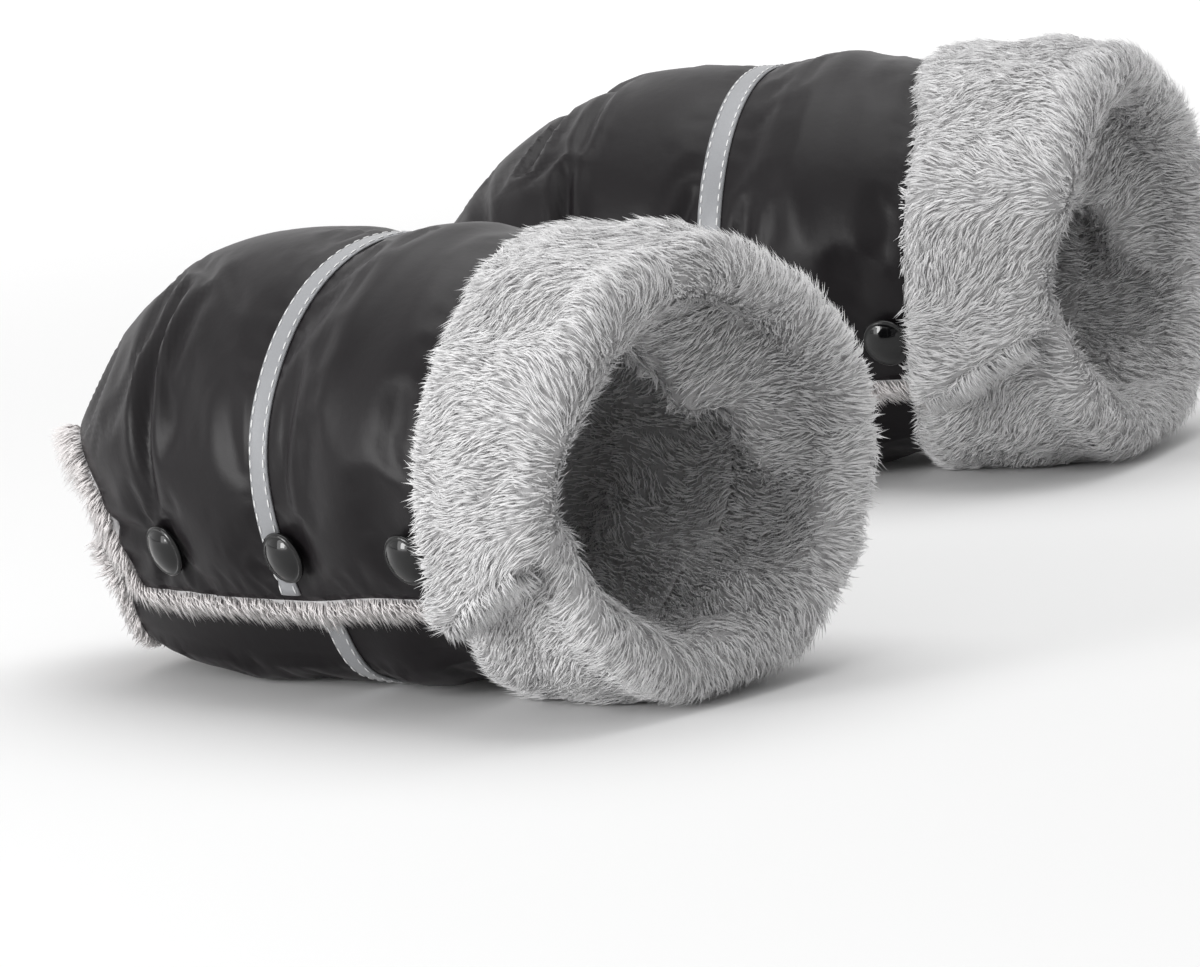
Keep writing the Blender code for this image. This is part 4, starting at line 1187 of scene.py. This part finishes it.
count = 0
for side in SIDES:
    for part in ("under", "top"):
        face, normal = make_tape_piece(side, part)
        for edge, row in STITCH_ROWS.items():
            count += sew(f"{side}_stitches_{edge}_{part}", face[row] + normal[row] * STITCH_LIFT,
                         normal[row], side, BODY.get(part))
print("stitches", count)

# %% [markdown]
# ## Press studs
# The caps are pressed metal with thick black lacquer: a low dome inside a thin rolled rim, in
# which the soft boxes show as sharp patches. Each is turned from one profile, extruded ring by
# ring. The sockets and studs inside keep the CAD model's turned shapes, in plated steel.

# %% Lacquer and steel
LACQUER = speckled("stud_lacquer", (60,), (0.002, 0.002, 0.0022), (0.004, 0.004, 0.0044),
                   gloss=(0.10, 0.08, 300, 3.0), Specular_IOR_Level=0.04, Coat_Weight=1.0,
                   Coat_Roughness=0.03, Coat_IOR=1.43)
STEEL = speckled("stud_steel", (300, 3.0), (0.50, 0.50, 0.51), (0.68, 0.68, 0.69),
                 gloss=(0.22, 0.16, 1200), Metallic=1.0)

# %% Turn the caps
CAP_SEGMENTS, CAP_SEAT, CAP_SMOOTH_DEGREES = 56, 0.0007, 50
CAP_SPAN, CAP_SPAN_DEGREES = 0.009, 4.5  # how far apart the form is read under a cap
CAP_RINGS = ((0.0022, 0.0000), (0.0078, 0.0000), (0.0088, 0.0003), (0.00905, 0.0010),
             (0.0088, 0.0017), (0.0083, 0.0020), (0.0079, 0.00185), (0.0076, 0.0019),
             (0.0069, 0.00236), (0.0060, 0.00286), (0.0050, 0.00332), (0.0039, 0.00371),
             (0.0027, 0.00402), (0.0014, 0.00422))


def snap_frame(index):
    """A stud's place on the form: the middle of the cap, and the way out."""
    station, angle = SNAP_FIRST + SNAP_PITCH * index, SNAP_DEGREES
    place = on_form(station, angle, 0.0)
    along = on_form(station + CAP_SPAN, angle, 0.0) - on_form(station - CAP_SPAN, angle, 0.0)
    around = (on_form(station, angle + CAP_SPAN_DEGREES, 0.0)
              - on_form(station, angle - CAP_SPAN_DEGREES, 0.0))
    out = Vector(np.cross(around, along)).normalized()
    return Vector(place), out if out.y < 0 else -out


def turn_cap(name):
    deselect()
    radius, height = CAP_RINGS[0]
    bpy.ops.mesh.primitive_circle_add(vertices=CAP_SEGMENTS, radius=radius, fill_type="NGON",
                                      location=(0, 0, 0))
    cap = bpy.context.object
    cap.name = cap.data.name = name
    with editing(cap, None):
        for (before, low), (after, high) in zip(CAP_RINGS, CAP_RINGS[1:]):
            bpy.ops.mesh.extrude_edges_move(TRANSFORM_OT_translate={"value": (0, 0, high - low)})
            bpy.ops.transform.resize(value=(after / before, after / before, 1))
        bpy.ops.mesh.edge_face_add()
    face_out(cap)
    return cap


for side in SIDES:
    for index in range(SNAP_COUNT):
        cap = turn_cap(f"{side}_cap_{index + 1}")
        place, out = snap_frame(index)
        turned = out.to_track_quat("Z", "X").to_matrix().to_4x4()
        cap.data.transform(Matrix.Translation(place + out * CAP_SEAT) @ turned)
        set_down(cap, side, LACQUER, side + "_flap")
        bpy.ops.object.shade_smooth_by_angle(angle=math.radians(CAP_SMOOTH_DEGREES))
        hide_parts(f"{side}_snap_cap_{index + 1}")
for name, node in frame["nodes"].items():
    if "snap_" in name and not node.hide_render:
        coat(node, STEEL)
print("caps turned from", len(CAP_RINGS), "rings")

# %% [markdown]
# ## Floor, light and camera
# The floor is plain and pale. To the camera it is as white as the background, so only the soft
# shadow shows, while the muffs are lit by it as by a pale floor; its glow grows away from them.
# One large soft box hangs over the muffs, one stands in front at the left, and a small one beside
# it is what the stud caps mirror. The world fills the rest. The camera stands far off with a long
# lens, as a product photographer's does, and is rolled a little, as the photograph is.

# %% Floor
FLOOR_SIZE, FLOOR_BELOW, FLOOR_GREY = 40, 0.0004, 0.83
FLOOR_GLOW, GLOW_START, GLOW_FULL = 0.60, 0.35, 2.2


def make_floor():
    deselect()
    bpy.ops.mesh.primitive_plane_add(size=FLOOR_SIZE, location=(0, 0, -FLOOR_BELOW))
    floor = bpy.context.object
    floor.name = "studio_floor"
    bpy.ops.object.transform_apply(location=True, rotation=False, scale=False)
    material, shader = new_material("pale_floor", Roughness=0.9, Specular_IOR_Level=0.1)
    shader.inputs["Base Color"].default_value = (FLOOR_GREY, FLOOR_GREY, FLOOR_GREY, 1)
    shader.inputs["Emission Strength"].default_value = 1.0
    place = Wire.node("ShaderNodeTexCoord", output=3)
    reach = Wire.node("ShaderNodeVectorMath", {"operation": "LENGTH"}, output=1, i0=place)
    far = Wire.node("ShaderNodeMapRange", {"interpolation_type": "SMOOTHSTEP"}, Value=reach,
                    i1=GLOW_START, i2=GLOW_FULL)
    seen = Wire.node("ShaderNodeLightPath", output=0) * far
    glow = blend_colours(seen, (0, 0, 0, 1), (FLOOR_GLOW, FLOOR_GLOW, FLOOR_GLOW, 1))
    plug(glow, shader, "Emission Color")
    coat(floor, material)


make_floor()


# %% World and soft boxes
WORLD_FILL = 0.55


def make_world():
    world = bpy.data.worlds.new("studio")
    bpy.context.scene.world = world
    world.use_nodes = True
    Wire.tree = world.node_tree
    background = world.node_tree.nodes["Background"]
    # What the camera sees straight on, as a mirror image or through glass is full white
    path = [Wire.node("ShaderNodeLightPath", output=place) for place in (0, 3, 6)]
    seen = path[0] + path[1] + path[2]
    background.inputs["Color"].default_value = (1, 1, 1, 1)
    plug(WORLD_FILL + (1 - WORLD_FILL) * seen, background, "Strength")


def soft_box(name, place, aim, size, power):
    data = bpy.data.lights.new(name, "AREA")
    data.shape, data.size, data.size_y, data.energy = "RECTANGLE", size[0], size[1], power
    lamp = link_piece(name, data)
    lamp.location = place
    lamp.rotation_euler = (Vector(aim) - Vector(place)).to_track_quat("-Z", "Y").to_euler()


make_world()
soft_box("overhead_box", (0.0, 0.2, 1.6), (0, 0, 0.05), (1.6, 1.6), 17.5)
soft_box("side_box", (-0.95, -1.75, 0.62), (-0.05, -0.2, 0.10), (1.1, 1.3), 14.5)
soft_box("catch_box", (-0.72, -1.55, 0.36), (-0.03, -0.27, 0.09), (0.34, 0.52), 7.5)


# %% Camera
LENS, SENSOR, CLIP_RANGE = 286.4, 36, (0.1, 100)
AZIMUTH, ELEVATION, ROLL, DISTANCE = 35.0, 9.0, -6.0, 3.08
AIM = (0.235, 0.0, 0.068)


def make_camera():
    data = bpy.data.cameras.new("camera")
    data.lens, data.sensor_width = LENS, SENSOR
    data.clip_start, data.clip_end = CLIP_RANGE
    camera = link_piece("camera", data)
    turn, rise = math.radians(AZIMUTH), math.radians(ELEVATION)
    flat = math.cos(rise)
    back = Vector((math.sin(turn) * flat, -math.cos(turn) * flat, math.sin(rise)))
    aim = PLACES["left"] @ Vector(AIM)
    camera.location = aim + back * DISTANCE
    level = (-back).to_track_quat("-Z", "Y").to_matrix()
    rolled = level @ Matrix.Rotation(math.radians(ROLL), 3, "Z")
    camera.rotation_mode = "QUATERNION"
    camera.rotation_quaternion = rolled.to_quaternion()
    bpy.context.scene.camera = camera


make_camera()
